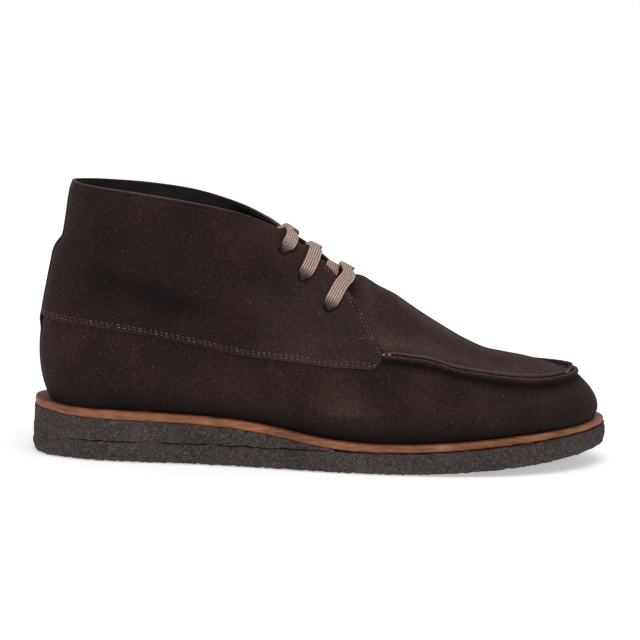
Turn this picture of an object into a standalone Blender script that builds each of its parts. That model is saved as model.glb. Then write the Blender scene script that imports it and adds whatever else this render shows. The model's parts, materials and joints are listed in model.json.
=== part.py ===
"""A moccasin-toe ankle boot for the right foot: suede upper, leather midsole, two-layer crepe sole.

The boot stands on its sole with the toe towards +X, the little-toe side towards -Y and +Z up.
Every table is in millimetres, with x counted from the back end of the sole, and the finished
objects are moved so that the origin lies under the middle of the boot's box.
"""

import math

import bmesh
import bpy
import numpy as np
from mathutils import Matrix, Vector

MM = 0.001

# ---------------------------------------------------------------- driving dimensions
SOLE_LENGTH = 301.0
GAP = 0.3  # running clearance between touching pieces
WALL = 2.6  # suede and lining together
OVERLAY = 1.5  # how far the quarters stand over the lower wall
LIP = 2.5  # how far the moccasin seam's two leather edges stand out
LIP_WIDTH = 2.3  # each edge, measured along the surface
LIP_GAP = 0.4  # from the seam to each edge
LIP_SIDE = 0.35  # run of each edge's outer side
GROOVE = 0.45  # share of the lips that is left standing between them
TONGUE_THICK = 1.8
INSOLE_THICK = 3.0
INSOLE_CLEAR = 0.8  # room between the insole and the inside of the upper
INSOLE_STEPS = 24
STRIP_THICK = 1.2
STRIP_STATION = 0.33  # half the width of the strip up the heel, in stations
EYELET_RADIUS = 2.9
LACE_WIDTH = 7.4
LACE_THICK = 1.3
LACE_GAP = 0.62  # room for a flat lace on the rounded tongue
LACE_FOLDED = 3.4  # width of the lace where it gathers into an eyelet
TURN_RADIUS = 1.5  # its bend into the hole
WEDGE_END = 158.0  # where the heel wedge runs out
WEDGE_EDGE = 0.5  # its thickness there
FLAT_END = 192.0  # the sole stands on the floor from the heel to here

# ---------------------------------------------------------------- tables
# Plan outline of the sole: distance along the boot, outer edge, inner edge.
SOLE_PLAN = (
    (0.0, 0.0, 0.0),
    (4.0, -15.5, 15.5),
    (15.0, -26.5, 26.5),
    (38.0, -35.5, 35.0),
    (90.0, -39.5, 34.0),
    (122.0, -45.0, 36.0),
    (160.0, -52.5, 42.0),
    (192.0, -55.3, 49.5),
    (221.0, -54.7, 52.5),
    (243.0, -51.0, 51.3),
    (263.0, -43.5, 47.0),
    (285.0, -27.5, 35.5),
    (297.0, -10.5, 20.5),
    (301.0, 4.5, 4.5),
)

# Side view of the sole: distance along, ground side, seam of the crepe layers, midsole's two faces.
SOLE_LAYERS = (
    (0.0, 0.0, 10.6, 24.9, 29.2),
    (20.0, 0.0, 10.6, 22.9, 27.3),
    (60.0, 0.0, 10.7, 21.7, 26.0),
    (95.0, 0.0, 10.8, 20.5, 24.8),
    (120.0, 0.0, 10.9, 18.4, 22.6),
    (135.0, 0.0, 11.0, 15.9, 20.0),
    (151.0, 0.0, 11.2, 13.2, 17.1),
    (170.0, 0.0, 11.3, 11.6, 15.4),
    (192.0, 0.0, 11.4, 11.7, 15.3),
    (210.0, 0.6, 12.3, 12.6, 16.1),
    (231.0, 2.0, 14.1, 14.4, 17.8),
    (262.0, 4.9, 17.2, 17.5, 20.8),
    (284.0, 7.6, 19.3, 19.6, 22.8),
    (301.0, 10.0, 20.9, 21.2, 24.4),
)

# The lower wall: where it stands on the midsole, how far it bulges, and the seam along its top.
# station: foot_x, foot_outer, foot_inner, bulge, seam_x, seam_outer, seam_inner, seam_z
LOWER_WALL = (
    (9.4, 0.0, 0.0, 8.8, 6.2, 0.0, 0.0, 74.5),
    (13.5, -17.5, 17.5, 9.5, 9.5, -18.5, 18.0, 74.2),
    (30.0, -29.5, 29.0, 9.5, 25.0, -31.0, 30.5, 72.8),
    (60.0, -32.0, 30.5, 9.0, 57.0, -35.5, 34.0, 69.2),
    (92.0, -35.0, 29.5, 9.0, 89.0, -38.5, 35.5, 64.0),
    (122.0, -39.5, 30.0, 9.5, 119.0, -41.5, 37.5, 58.6),
    (150.0, -44.5, 34.5, 10.0, 149.0, -44.0, 40.0, 55.4),
    (176.0, -48.5, 41.5, 10.5, 181.5, -44.5, 42.0, 59.8),
    (200.0, -49.5, 46.5, 10.5, 203.0, -43.5, 42.0, 57.0),
    (224.0, -48.5, 48.0, 10.0, 223.0, -41.5, 41.0, 52.0),
    (247.0, -44.0, 45.5, 9.0, 243.0, -37.0, 38.0, 47.9),
    (267.0, -36.0, 39.0, 8.0, 261.0, -29.0, 31.5, 46.1),
    (283.0, -24.0, 29.0, 7.4, 273.8, -17.5, 22.0, 46.8),
    (292.0, -9.5, 16.5, 7.0, 280.6, -6.5, 11.5, 48.0),
    (294.4, 3.5, 3.5, 7.0, 282.2, 2.6, 2.6, 48.5),
)
CORNER_DROP = 9.2  # the quarter's lower front corner, measured down the wall
CORNER_BACK = 1.3  # where that begins, in stations behind the facing
CORNER_ROUND = 0.15  # share of that stretch taken by the rounded corner itself
PLUG_TUCK = 1.4  # how far the plug runs on under the quarters, in stations
INNER_EASE = 0.2  # share of a quarter's section in which its inside moves out to the overlay
FACING_ROW = 7  # the station of LOWER_WALL whose line runs up the front edge of the quarters

# The quarters, from the seam up to the collar: the collar point and the pull point of each section.
# station: collar_x, collar_outer, collar_inner, collar_z_outer, collar_z_inner, then x, outer, inner, z
QUARTERS = (
    (20.2, 0.0, 0.0, 142.0, 142.0, 9.6, 0.0, 0.0, 108.0),
    (23.0, -12.5, 12.5, 141.4, 141.5, 15.0, -16.5, 16.0, 108.0),
    (35.0, -25.0, 25.0, 140.2, 140.6, 28.0, -28.0, 27.5, 106.0),
    (57.0, -31.5, 31.5, 138.0, 139.0, 56.0, -33.0, 32.0, 104.0),
    (82.0, -33.0, 33.0, 134.4, 135.6, 87.0, -35.0, 33.5, 101.0),
    (104.0, -29.0, 29.0, 129.6, 129.4, 114.0, -35.5, 33.5, 99.0),
    (120.5, -18.5, 18.5, 122.6, 122.2, 139.0, -31.0, 29.5, 98.0),
    (130.0, -8.5, 8.5, 116.2, 116.2, 165.5, -22.0, 21.0, 97.5),
)

# The top of the foot in side view, from the lacing down to the toe.
CREST = (
    (116.0, 125.6),
    (128.0, 119.0),
    (149.6, 107.2),
    (165.0, 99.0),
    (184.0, 87.6),
    (198.0, 78.3),
    (211.6, 70.2),
    (225.0, 62.8),
    (235.0, 58.6),
    (246.0, 56.6),
    (256.0, 55.0),
    (266.0, 52.4),
    (274.0, 49.8),
    (286.0, 46.6),
)

# The plug on top of the foot: where each section meets the crest, and its pull point's two sides.
# station: crest_x, pull_outer, pull_inner
PLUG = (
    (163.0, -14.0, 14.0),
    (187.0, -23.0, 22.0),
    (214.0, -23.8, 23.4),
    (237.0, -20.0, 21.0),
    (255.0, -15.0, 17.0),
    (266.5, -9.0, 12.0),
    (273.2, -3.0, 7.0),
    (275.8, 2.0, 2.0),
)
THROAT = 0.34  # share of the facing's length that is sewn down on the plug
THROAT_COLUMNS = 0.45  # stations of the plug that end on the throat instead of the crest

# Soft fold over the top of the heel stiffener: it runs forward and down from the back seam.
FOLD_DEPTH = 3.6
FOLD_START = (13.0, 113.0)
FOLD_END = (110.0, 91.0)
FOLD_ABOVE = 22.0
FOLD_BELOW = 5.0
FOLD_CENTRE_X = 72.0

# Where the lacing's cross lines meet the crest: height on the facing, distance along the boot.
LACING_LINES = (
    (0.20, 182.0),
    (0.45, 164.5),
    (0.71, 147.0),
    (0.95, 130.7),
    (1.0, 127.0),
)
LACING_SLANT = 0.19  # how far a cross line drops on the quarter, for each station back
# The three rows of eyelets: height on the facing, stations behind its front edge, how far the bar
# above stands off the leather, and how far it bows up the throat where it leaves the facing.
EYELET_ROWS = ((0.435, 0.58, 0.6, 0.073), (0.7, 0.83, 0.6, 0.075), (0.94, 1.0, 1.7, 0.045))
CREST_BOW = 0.7  # share of a bar's bow that is left where it crosses the crest
TONGUE_ROWS = (0.25, 0.97)
TONGUE_REACH = (1.7, 2.5)  # how far it runs under the facings at its two ends
TONGUE_MIDDLE = 3.6  # how far the tongue lies under the crest
TONGUE_UNDER = 5.0  # and under the facings, which leaves room for the lace
TONGUE_SINK = 3.2  # and how much deeper its front end dips below the throat

# ---------------------------------------------------------------- curves through tables
def hermite(left, right, left_slope, right_slope, share):
    """A cubic between two values, with the slopes given per unit of share."""
    s2, s3 = share * share, share**3
    return (
        (2 * s3 - 3 * s2 + 1) * left
        + (s3 - 2 * s2 + share) * left_slope
        + (3 * s2 - 2 * s3) * right
        + (s3 - s2) * right_slope
    )


def table_curve(xs, ys):
    """A smooth function through the rows (x, y) of a table, held flat past its ends."""
    xs, ys = np.asarray(xs, float), np.asarray(ys, float)
    slopes = np.gradient(ys, xs)

    def value(x):
        x = min(max(x, xs[0]), xs[-1])
        k = min(int(np.searchsorted(xs, x, "right")) - 1, len(xs) - 2)
        step = xs[k + 1] - xs[k]
        share = (x - xs[k]) / step
        return float(hermite(ys[k], ys[k + 1], slopes[k] * step, slopes[k + 1] * step, share))

    return value


def row_curve(rows, closed=False):
    """A smooth function through evenly counted rows; a closed one joins its last row to its first."""
    rows = np.asarray(rows, float)
    count = len(rows)

    def row(k):
        if closed:
            return rows[k % count]
        if k < 0:
            return 2 * rows[0] - rows[1]
        if k >= count:
            return 2 * rows[-1] - rows[-2]
        return rows[k]

    def value(station):
        k = int(math.floor(station))
        if not closed:
            k = min(max(k, 0), count - 2)
        a, b, c, d = (row(k + i) for i in (-1, 0, 1, 2))
        return hermite(b, c, (c - a) / 2, (d - b) / 2, station - k)

    return value


def ease(share):
    """A smooth step from 0 to 1."""
    share = min(max(share, 0.0), 1.0)
    return share * share * (3 - 2 * share)


def bend(start, pull, end, share):
    """A point on the curve that leaves start for pull and arrives at end from pull."""
    return (1 - share) ** 2 * start + 2 * share * (1 - share) * pull + share**2 * end


# ---------------------------------------------------------------- the sole's own functions
LAYER_X = [row[0] for row in SOLE_LAYERS]
ground_curve, split_z, under_midsole_z, over_midsole_z = (
    table_curve(LAYER_X, [row[k] for row in SOLE_LAYERS]) for k in (1, 2, 3, 4)
)


def ground_z(x):
    """The underside stands flat on the floor up to the ball of the foot."""
    return 0.0 if x <= FLAT_END else max(0.0, ground_curve(x))


def turn_of(x):
    """The angle, 0 at the heel end and pi at the toe end, whose cosine gives x along the sole."""
    return math.acos(min(max(1 - 2 * x / SOLE_LENGTH, -1.0), 1.0))


PLAN_TURNS = [turn_of(row[0]) for row in SOLE_PLAN]
plan_outer, plan_inner = (
    table_curve(PLAN_TURNS, [row[k] for row in SOLE_PLAN]) for k in (1, 2)
)


def sole_loop(inset, end_x=SOLE_LENGTH, steps=30):
    """The outline once round, heel end first along the outer side, moved in by inset.

    With an end short of the toe the loop stops there on both sides.
    """
    end = turn_of(end_x)
    turns = np.linspace(0.0, end, steps + 1)
    whole = end > math.pi - 0.001
    if not whole:
        turns = np.append(turns, end + turns[1])
    outer = [(SOLE_LENGTH / 2 * (1 - math.cos(t)), plan_outer(t)) for t in turns]
    inner = [(SOLE_LENGTH / 2 * (1 - math.cos(t)), plan_inner(t)) for t in turns[1:]][::-1]
    loop = np.array(outer + (inner[1:] if whole else inner))
    along = np.roll(loop, -1, 0) - np.roll(loop, 1, 0)
    along /= np.linalg.norm(along, axis=1)[:, None]
    moved = loop + inset * np.column_stack([-along[:, 1], along[:, 0]])
    return moved if whole else np.delete(moved, (steps + 1, steps + 2), axis=0)


# ---------------------------------------------------------------- the upper's own functions
OUTER, INNER = 0, 1  # the little-toe side and the big-toe side
TOE_ROW = len(LOWER_WALL) - 1


def ring_of(columns):
    """Rows once round the boot: outer side heel to toe, then back along the inner side."""
    table = np.array(LOWER_WALL)
    outer = table[:, columns[OUTER]]
    inner = table[:, columns[INNER]]
    return row_curve(np.concatenate([outer, inner[-2:0:-1]]), closed=True)


foot_ring = ring_of(((0, 1, 3), (0, 2, 3)))
seam_ring = ring_of(((4, 5, 7), (4, 6, 7)))
collar_lines = tuple(row_curve([(q[0], q[1 + side], q[3 + side]) for q in QUARTERS]) for side in (0, 1))
pull_lines = tuple(row_curve([(q[5], q[6 + side], q[8]) for q in QUARTERS]) for side in (0, 1))
plug_lines = tuple(row_curve([(p[0], p[1 + side]) for p in PLUG]) for side in (0, 1))
crest_z = table_curve(*zip(*CREST))
lacing_x = table_curve(*zip(*LACING_LINES))


def ring_place(side, station):
    return station if side == OUTER else (2 * TOE_ROW - station) % (2 * TOE_ROW)


def corner_drop(station):
    """How far the quarter's lower front corner laps down over the wall, below the seam."""
    back = (station - FACING_ROW + CORNER_BACK) / CORNER_BACK
    if not 0 < back < 1:
        return 0.0
    turned = max(0.0, 1 - (1 - back) / CORNER_ROUND)
    return CORNER_DROP * back**1.25 * math.sqrt(1 - turned**2)


def wall_curve(side, station):
    """Start, pull and end of the lower wall's section at a station."""
    place = ring_place(side, station)
    x, y, bulge = foot_ring(place)
    before, after = foot_ring(place - 0.05), foot_ring(place + 0.05)
    run = Vector((after[0] - before[0], after[1] - before[1])).normalized()
    seam = seam_ring(place)
    foot = np.array([x, y, over_midsole_z(x) + GAP])
    height = foot[2] + 0.4 * (seam[2] - foot[2])
    pull = np.array([x + bulge * run.y, y - bulge * run.x, height])
    return foot, pull, seam


def quarter_curve(side, station):
    """Start, pull and end of the quarter's section at a station."""
    return wall_curve(side, station)[2], pull_lines[side](station), collar_lines[side](station)


def facing_point(side, share):
    return bend(*quarter_curve(side, FACING_ROW), share)


def plug_curve(side, station):
    """Start, pull and end of the plug's section; near the facing it ends along the throat."""
    seam = wall_curve(side, station)[2]
    past = station - FACING_ROW
    crest_x, pull_y = plug_lines[side](past)
    if past < THROAT_COLUMNS:
        corner_x = plug_lines[side](THROAT_COLUMNS)[0]
        corner = np.array([corner_x, 0.0, crest_z(corner_x)])
        edge = facing_point(side, THROAT)
        shoulder = np.array([corner_x, 0.45 * edge[1], corner[2]])
        top = bend(edge, shoulder, corner, past / THROAT_COLUMNS)
    else:
        top = np.array([crest_x, 0.0, crest_z(crest_x)])
    toe_share = max(0.0, station - TOE_ROW + 2) / 2
    top[1] += 2.0 * toe_share**2
    pull = np.array([0.4 * seam[0] + 0.6 * top[0], pull_y, top[2]])
    start, facing_pull, _ = quarter_curve(side, FACING_ROW)
    first_pull = start + THROAT * (facing_pull - start)
    blend = ease(past)
    return seam, (1 - blend) * first_pull + blend * pull, top


def throat_surface(across, row):
    """The surface the lacing lies on: -1 and 1 are the facings' front edges, 0 is the crest.

    Beyond 1 it is the quarter's own surface, one station back for each unit.
    """
    side = OUTER if across < 0 else INNER
    reach = abs(across)
    if reach >= 1:
        lower = row - LACING_SLANT * (reach - 1)
        return bend(*quarter_curve(side, FACING_ROW + 1 - reach), lower)
    edge, other = facing_point(side, row), facing_point(1 - side, row)
    x = lacing_x(row)
    crest = np.array([x, 0.0, crest_z(x)])
    behind = throat_surface(-1.1 if side == OUTER else 1.1, row)
    rise = (edge - behind) / np.linalg.norm(edge - behind) * np.linalg.norm(crest - edge)
    return hermite(crest, edge, (edge - other) / 2, -rise, reach)


def throat_frame(across, row):
    """A point of the throat surface, the outward normal and the direction across."""
    step = 0.02
    point = Vector(throat_surface(across, row))
    ahead = Vector(throat_surface(across + step, row)) - Vector(throat_surface(across - step, row))
    up = Vector(throat_surface(across, row + step)) - Vector(throat_surface(across, row - step))
    return point, ahead.cross(up).normalized(), ahead.normalized()


def fold(point):
    """How far the soft fold behind the ankle draws the surface in."""
    run = Vector(FOLD_END) - Vector(FOLD_START)
    offset = Vector((point[0], point[2])) - Vector(FOLD_START)
    along = offset.dot(run) / run.length_squared
    across = offset.dot(Vector((-run.y, run.x)).normalized())
    width = FOLD_ABOVE if across > 0 else FOLD_BELOW
    fade = 1 - min(max(along, 0.0), 1.0)
    return FOLD_DEPTH * fade * fade * math.exp(-((across / width) ** 2))


# ---------------------------------------------------------------- mesh helpers
def clear_scene():
    for old in list(bpy.data.objects):
        bpy.data.objects.remove(old, do_unlink=True)


def make_collection(name):
    collection = bpy.data.collections.new(name)
    bpy.context.scene.collection.children.link(collection)
    return collection


def material(name, color, roughness):
    made = bpy.data.materials.new(name)
    made.use_nodes = True
    shader = made.node_tree.nodes["Principled BSDF"]
    shader.inputs["Base Color"].default_value = (*color, 1.0)
    shader.inputs["Roughness"].default_value = roughness
    made.diffuse_color = (*color, 1.0)
    return made


def add_object(name, bm, finish, collection):
    """A named object from a bmesh in millimetres, with smooth round stretches."""
    bmesh.ops.recalc_face_normals(bm, faces=bm.faces)
    bmesh.ops.scale(bm, vec=(MM, MM, MM), verts=bm.verts)
    mesh = bpy.data.meshes.new(name)
    bm.to_mesh(mesh)
    bm.free()
    mesh.shade_smooth()
    mesh.set_sharp_from_angle(angle=math.radians(40))
    mesh.materials.append(finish)
    obj = bpy.data.objects.new(name, mesh)
    collection.objects.link(obj)
    return obj


def thicken(sheet, outward, inward):
    """Turns an open sheet into a closed wall. outward and inward give each point's two offsets."""
    sheet.normal_update()
    sheet.verts.index_update()
    solid = bmesh.new()
    shells = []
    for offset in (outward, inward):
        shells.append([solid.verts.new(v.co + v.normal * offset(v)) for v in sheet.verts])
    front, back = shells
    for face in sheet.faces:
        corners = [v.index for v in face.verts]
        solid.faces.new([front[k] for k in corners])
        solid.faces.new([back[k] for k in reversed(corners)])
    for edge in sheet.edges:
        if len(edge.link_faces) == 1:
            loop = edge.link_loops[0]
            a, b = loop.vert.index, loop.link_loop_next.vert.index
            solid.faces.new([front[b], front[a], back[a], back[b]])
    return solid


def grid_faces(sheet, grid, flip):
    """Quads between neighbouring lines of a grid of vertices, skipping gaps and repeats."""
    for left, right in zip(grid, grid[1:]):
        for k in range(min(len(left), len(right)) - 1):
            corners = [left[k], right[k], right[k + 1], left[k + 1]]
            if flip:
                corners.reverse()
            kept = [c for i, c in enumerate(corners) if c is not corners[i - 1]]
            if len(kept) > 2:
                sheet.faces.new(kept)


def loft_rings(rings):
    """A closed solid from rings of equal count, capped by strips between the ring's two sides."""
    bm = bmesh.new()
    levels = [[bm.verts.new(point) for point in ring] for ring in rings]
    count = len(levels[0])
    for low, high in zip(levels, levels[1:]):
        for k in range(count):
            bm.faces.new([low[k], low[(k + 1) % count], high[(k + 1) % count], high[k]])
    half = (count + 1) // 2
    for level in (levels[0], levels[-1]):
        for k in range(half):
            corners = [level[k], level[k + 1], level[-k - 1], level[-k]]
            kept = [c for i, c in enumerate(corners) if c is not corners[i - 1]]
            if len(set(kept)) > 2:
                bm.faces.new(kept)
    return bm


# ---------------------------------------------------------------- sole pieces
def layer(rows, end_x=SOLE_LENGTH, steps=30):
    """A sole layer: each row gives an inset and the height of the surface there."""
    rings = []
    for inset, height in rows:
        loop = sole_loop(inset, end_x, steps)
        rings.append([(x, y, height(min(max(x, 0.0), SOLE_LENGTH))) for x, y in loop])
    return loft_rings(rings)


def build_outsole(finish, collection):
    rows = (
        (3.6, ground_z),
        (1.2, lambda x: ground_z(x) + 1.0),
        (0.2, lambda x: ground_z(x) + 3.6),
        (0.0, lambda x: ground_z(x) + 6.5),
        (0.5, split_z),
    )
    return add_object("outsole", layer(rows), finish, collection)


def build_heel_wedge(finish, collection):
    def underside(x):
        return split_z(x) + GAP

    def top(x):
        return max(under_midsole_z(x) - GAP, underside(x) + WEDGE_EDGE)

    rows = ((0.5, underside), (1.1, lambda x: (underside(x) + top(x)) / 2), (1.7, top))
    return add_object("heel_wedge", layer(rows, WEDGE_END, 18), finish, collection)


def build_midsole(finish, collection):
    rows = (
        (1.6, under_midsole_z),
        (1.3, lambda x: (under_midsole_z(x) + over_midsole_z(x)) / 2),
        (2.0, over_midsole_z),
    )
    return add_object("midsole", layer(rows), finish, collection)


def build_insole(finish, collection):
    """The inner sole lies on the midsole, inside the foot of the upper."""
    stations = np.linspace(0.0, 2 * TOE_ROW, 2 * INSOLE_STEPS + 1)[:-1]
    loop = np.array([foot_ring(station)[:2] for station in stations])
    along = np.roll(loop, -1, 0) - np.roll(loop, 1, 0)
    along /= np.linalg.norm(along, axis=1)[:, None]
    loop += (WALL + INSOLE_CLEAR) * np.column_stack([-along[:, 1], along[:, 0]])
    rings = []
    for rise in (GAP, GAP + INSOLE_THICK):
        rings.append([(x, y, over_midsole_z(x) + rise) for x, y in loop])
    return add_object("insole", loft_rings(rings), finish, collection)


# ---------------------------------------------------------------- upper
WALL_SHARES = (0.0, 0.14, 0.32, 0.52, 0.74)
PLUG_SHARES = (0.2, 0.4, 0.6, 0.8, 1.0)
THROAT_SHARES = [THROAT * (k + 1) / len(PLUG_SHARES) for k in range(len(PLUG_SHARES))]
QUARTER_SHARES = (*THROAT_SHARES, 0.43, 0.51, 0.59, 0.69, 0.84, 1.0)
QUARTER_STATIONS = (
    *(0.0, STRIP_STATION, STRIP_STATION + 0.03),
    *np.linspace(0.72, FACING_ROW - 0.5, 17),
    *(FACING_ROW - k for k in (0.32, 0.2, 0.1, 0.04, 0.0)),
)
PLUG_STATIONS = (
    *(FACING_ROW + k for k in (0.02, 0.16, 0.31, THROAT_COLUMNS, 0.75)),
    *np.linspace(FACING_ROW + 1.1, TOE_ROW, 15),
)


def seam_rows(curve, below):
    """The edges of the seam's standing lips beside the seam, given as places on a curve."""
    seam = curve[2] if below else curve[0]
    pace = 2 * np.linalg.norm(curve[1] - seam)
    distances = (LIP_GAP, LIP_WIDTH, LIP_WIDTH + LIP_SIDE)
    if below:
        return [1 - distance / pace for distance in reversed(distances)]
    return [distance / pace for distance in distances]


def upper_column(side, station, over_curve, over_shares, seam):
    """One line of the upper from the midsole to its top: points and how far each stands out.

    With seam set the line has the extra rows that form the seam's two standing edges.
    """
    wall, over = wall_curve(side, station), over_curve(side, station)
    below, above = seam_rows(wall, True), seam_rows(over, False)
    edge = 1 - corner_drop(station) / (2 * np.linalg.norm(wall[2] - wall[1]))
    start = above[-1] * min(max(station - FACING_ROW, 0.0), 1.0)
    below_shares = [*WALL_SHARES, *(below if seam else ()), 1.0]
    above_shares = [*(above if seam else ()), *(start + (1 - start) * s for s in over_shares)]
    points = [bend(*wall, edge * share) for share in below_shares]
    points += [bend(*over, share) for share in above_shares]
    if not seam:
        heights = [-WALL] * len(below_shares)
        heights += [inner_stand(station, share, over_curve) for share in above_shares]
    elif over_curve is plug_curve:
        flat = [0.0] * (len(WALL_SHARES) + 1)
        heights = [*flat, LIP, LIP, GROOVE * LIP, LIP, LIP, 0.0, *(0.0 for _ in over_shares)]
    elif station <= STRIP_STATION:
        heights = [STRIP_THICK + OVERLAY * share for share in below_shares]
        heights += [STRIP_THICK + OVERLAY] * len(above_shares)
    else:
        heights = [0.0] * (len(below_shares) - 1) + [OVERLAY] * (len(above_shares) + 1)
    return points, heights


def inner_stand(station, share, over_curve):
    """Where the inside lies: the quarters keep the wall's thickness once they are clear of the plug."""
    if over_curve is plug_curve:
        return -WALL
    clear = THROAT * ease((station - FACING_ROW + PLUG_TUCK) / (PLUG_TUCK / 2))
    return OVERLAY * ease((share - clear) / INNER_EASE) - WALL


def upper_sheet(seam):
    """The upper's surface as an open sheet: its vertices by place, and how far each stands out."""
    sheet = bmesh.new()
    placed, stand = {}, {}
    patches = (
        (quarter_curve, QUARTER_SHARES, QUARTER_STATIONS),
        (plug_curve, PLUG_SHARES, PLUG_STATIONS if seam else PLUG_STATIONS[1:]),
    )
    for side in (OUTER, INNER):
        columns = []
        for curve, shares, stations in patches:
            for station in stations:
                keys = []
                for point, height in zip(*upper_column(side, station, curve, shares, seam)):
                    key = tuple(round(c, 3) for c in point)
                    if key not in placed:
                        placed[key] = sheet.verts.new(draw_in(Vector(point)))
                        stand[key] = height
                    keys.append(key)
                columns.append([placed[key] for key in keys])
        grid_faces(sheet, columns, flip=side == INNER)
    sheet.normal_update()
    return sheet, placed, stand


def draw_in(point):
    """The fold moves the surface straight towards the middle of the ankle."""
    inward = Vector((FOLD_CENTRE_X, 0.0, point.z)) - point
    return point + inward.normalized() * fold(point)


def upper_shell():
    """The closed wall: the outside with its seams and overlays, the plain inside, and the rims."""
    solid = bmesh.new()
    sheets = []
    for seam in (True, False):
        sheet, places, stand = upper_sheet(seam)
        key_of = {vert: key for key, vert in places.items()}
        made = {}
        for key, vert in places.items():
            spot = vert.co + vert.normal * stand[key]
            if abs(key[2] - over_midsole_z(key[0]) - GAP) < 0.01:
                spot.z = over_midsole_z(spot.x) + GAP
            made[key] = solid.verts.new(spot)
        for face in sheet.faces:
            corners = [made[key_of[v]] for v in face.verts]
            solid.faces.new(corners if seam else corners[::-1])
        sheets.append((sheet, key_of, made))
    (outside, key_of, front), (inside, _, back) = sheets

    def behind(key):
        near = key if key in back else min(back, key=lambda other: math.dist(other, key))
        return back[near]

    for edge in outside.edges:
        if len(edge.link_faces) == 1:
            loop = edge.link_loops[0]
            a, b = key_of[loop.vert], key_of[loop.link_loop_next.vert]
            rim = [front[b], front[a], behind(a), behind(b)]
            solid.faces.new(rim if rim[2] is not rim[3] else rim[:3])
    outside.free()
    inside.free()
    return solid


def build_upper(finish, collection):
    upper = add_object("upper", upper_shell(), finish, collection)
    cutter = bmesh.new()
    for across, row in eyelets():
        point, normal, _ = throat_frame(across, row)
        turn = normal.to_track_quat("Z", "Y").to_matrix().to_4x4()
        bmesh.ops.create_cone(
            cutter,
            cap_ends=True,
            segments=12,
            radius1=EYELET_RADIUS,
            radius2=EYELET_RADIUS,
            depth=4 * WALL,
            matrix=Matrix.Translation(point) @ turn,
        )
    cut_away(upper, add_object("eyelet_cutter", cutter, finish, collection))
    return upper


def cut_away(obj, cutter):
    """Takes the cutter's volume out of the object, and removes the cutter."""
    cut = obj.modifiers.new("cut", "BOOLEAN")
    cut.object = cutter
    cut.solver = "MANIFOLD"
    graph = bpy.context.evaluated_depsgraph_get()
    result = bpy.data.meshes.new_from_object(obj.evaluated_get(graph))
    obj.modifiers.clear()
    obj.data = result
    bpy.data.objects.remove(cutter, do_unlink=True)


# ---------------------------------------------------------------- tongue and lace
def eyelets():
    """Where the six holes lie on the throat surface, outer side first in each row."""
    return [(side * (1 + back), row) for row, back, _, _ in EYELET_ROWS for side in (-1, 1)]


def tongue_depth(across, row):
    """How far the tongue's top lies under the throat surface."""
    depth = TONGUE_MIDDLE + (TONGUE_UNDER - TONGUE_MIDDLE) * ease(abs(across) / 0.8)
    return depth + TONGUE_SINK * (1 - ease((row - TONGUE_ROWS[0]) / (THROAT - TONGUE_ROWS[0])))


def build_tongue(finish, collection):
    sheet = bmesh.new()
    grid = []
    for row, reach in zip(np.linspace(*TONGUE_ROWS, 11), np.linspace(*TONGUE_REACH, 11)):
        line = []
        for across in np.linspace(-reach, reach, 15):
            point, normal, _ = throat_frame(across, row)
            line.append(sheet.verts.new(point - normal * tongue_depth(across, row)))
        grid.append(line)
    grid_faces(sheet, grid, flip=False)
    sheet.normal_update()
    upward = sum(face.normal.z for face in sheet.faces) > 0
    thickness = -TONGUE_THICK if upward else TONGUE_THICK
    solid = thicken(sheet, lambda v: 0.0, lambda v: thickness)
    sheet.free()
    return add_object("tongue", solid, finish, collection)


def bar_row(across, row, back, bow):
    """The row that a bar lies on: it bows up the throat between its two holes."""
    reach = abs(across)
    if reach < 1:
        return row + bow * (CREST_BOW + (1 - CREST_BOW) * ease(reach))
    return row + bow * (1 - ((reach - 1) / back) ** 1.5)


def eyelet_turn(across, row, lift, bow, rising):
    """The lace's way through one hole: points from outside to inside, or back when it rises."""
    point, normal, ahead = throat_frame(across, row)
    back = abs(across) - 1
    nearer = math.copysign(1 + 0.6 * back, across)
    onward = throat_frame(nearer, bar_row(nearer, row, back, bow))[0] - point
    outside = (onward - normal * onward.dot(normal)).normalized()
    inside = ahead if across < 0 else -ahead
    top = OVERLAY + lift + LACE_THICK / 2
    low = LACE_GAP + LACE_THICK / 2 - TONGUE_UNDER
    steps = (
        (4.4, top, 5.4),
        (TURN_RADIUS, top, LACE_FOLDED),
        (0.5 * TURN_RADIUS, top - 0.13 * TURN_RADIUS, LACE_FOLDED),
        (0.13 * TURN_RADIUS, top - 0.5 * TURN_RADIUS, LACE_FOLDED),
        (0.0, top - TURN_RADIUS, LACE_FOLDED),
        (0.0, low + TURN_RADIUS, LACE_FOLDED),
        (0.13 * TURN_RADIUS, low + 0.5 * TURN_RADIUS, LACE_FOLDED),
        (0.5 * TURN_RADIUS, low + 0.13 * TURN_RADIUS, LACE_FOLDED),
        (TURN_RADIUS, low, LACE_FOLDED),
        (4.4, low, 5.4),
    )
    side = normal.cross(ahead).normalized()
    ways = [outside if h > 0 else inside for _, h, _ in steps]
    places = [(point + way * q + normal * h, side, w) for way, (q, h, w) in zip(ways, steps)]
    return places[::-1] if rising else places


def lace_run(start, end, lift=None, bow=0.0):
    """The lace from hole to hole: over the facings with a lift, or under them without one."""
    places = []
    ends = [throat_frame(*hole)[0] for hole in (start, end)]
    for share in np.linspace(0.0, 1.0, 21)[1:-1]:
        across = start[0] + (end[0] - start[0]) * share
        row = start[1] + (end[1] - start[1]) * share
        if lift is not None:
            row = bar_row(across, row, abs(start[0]) - 1, bow)
        point, normal, ahead = throat_frame(across, row)
        if min((point - hole).length for hole in ends) < 6.0:
            continue
        under = LACE_GAP + LACE_THICK / 2 - tongue_depth(across, row)
        if lift is None:
            height = under
        else:
            crossing = LACE_GAP + LACE_THICK * 1.5 + GAP - TONGUE_MIDDLE
            high = OVERLAY + lift + LACE_THICK / 2
            height = crossing + (high - crossing) * ease(abs(across))
        places.append((point + normal * height, normal.cross(ahead).normalized(), LACE_WIDTH))
    return places


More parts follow.
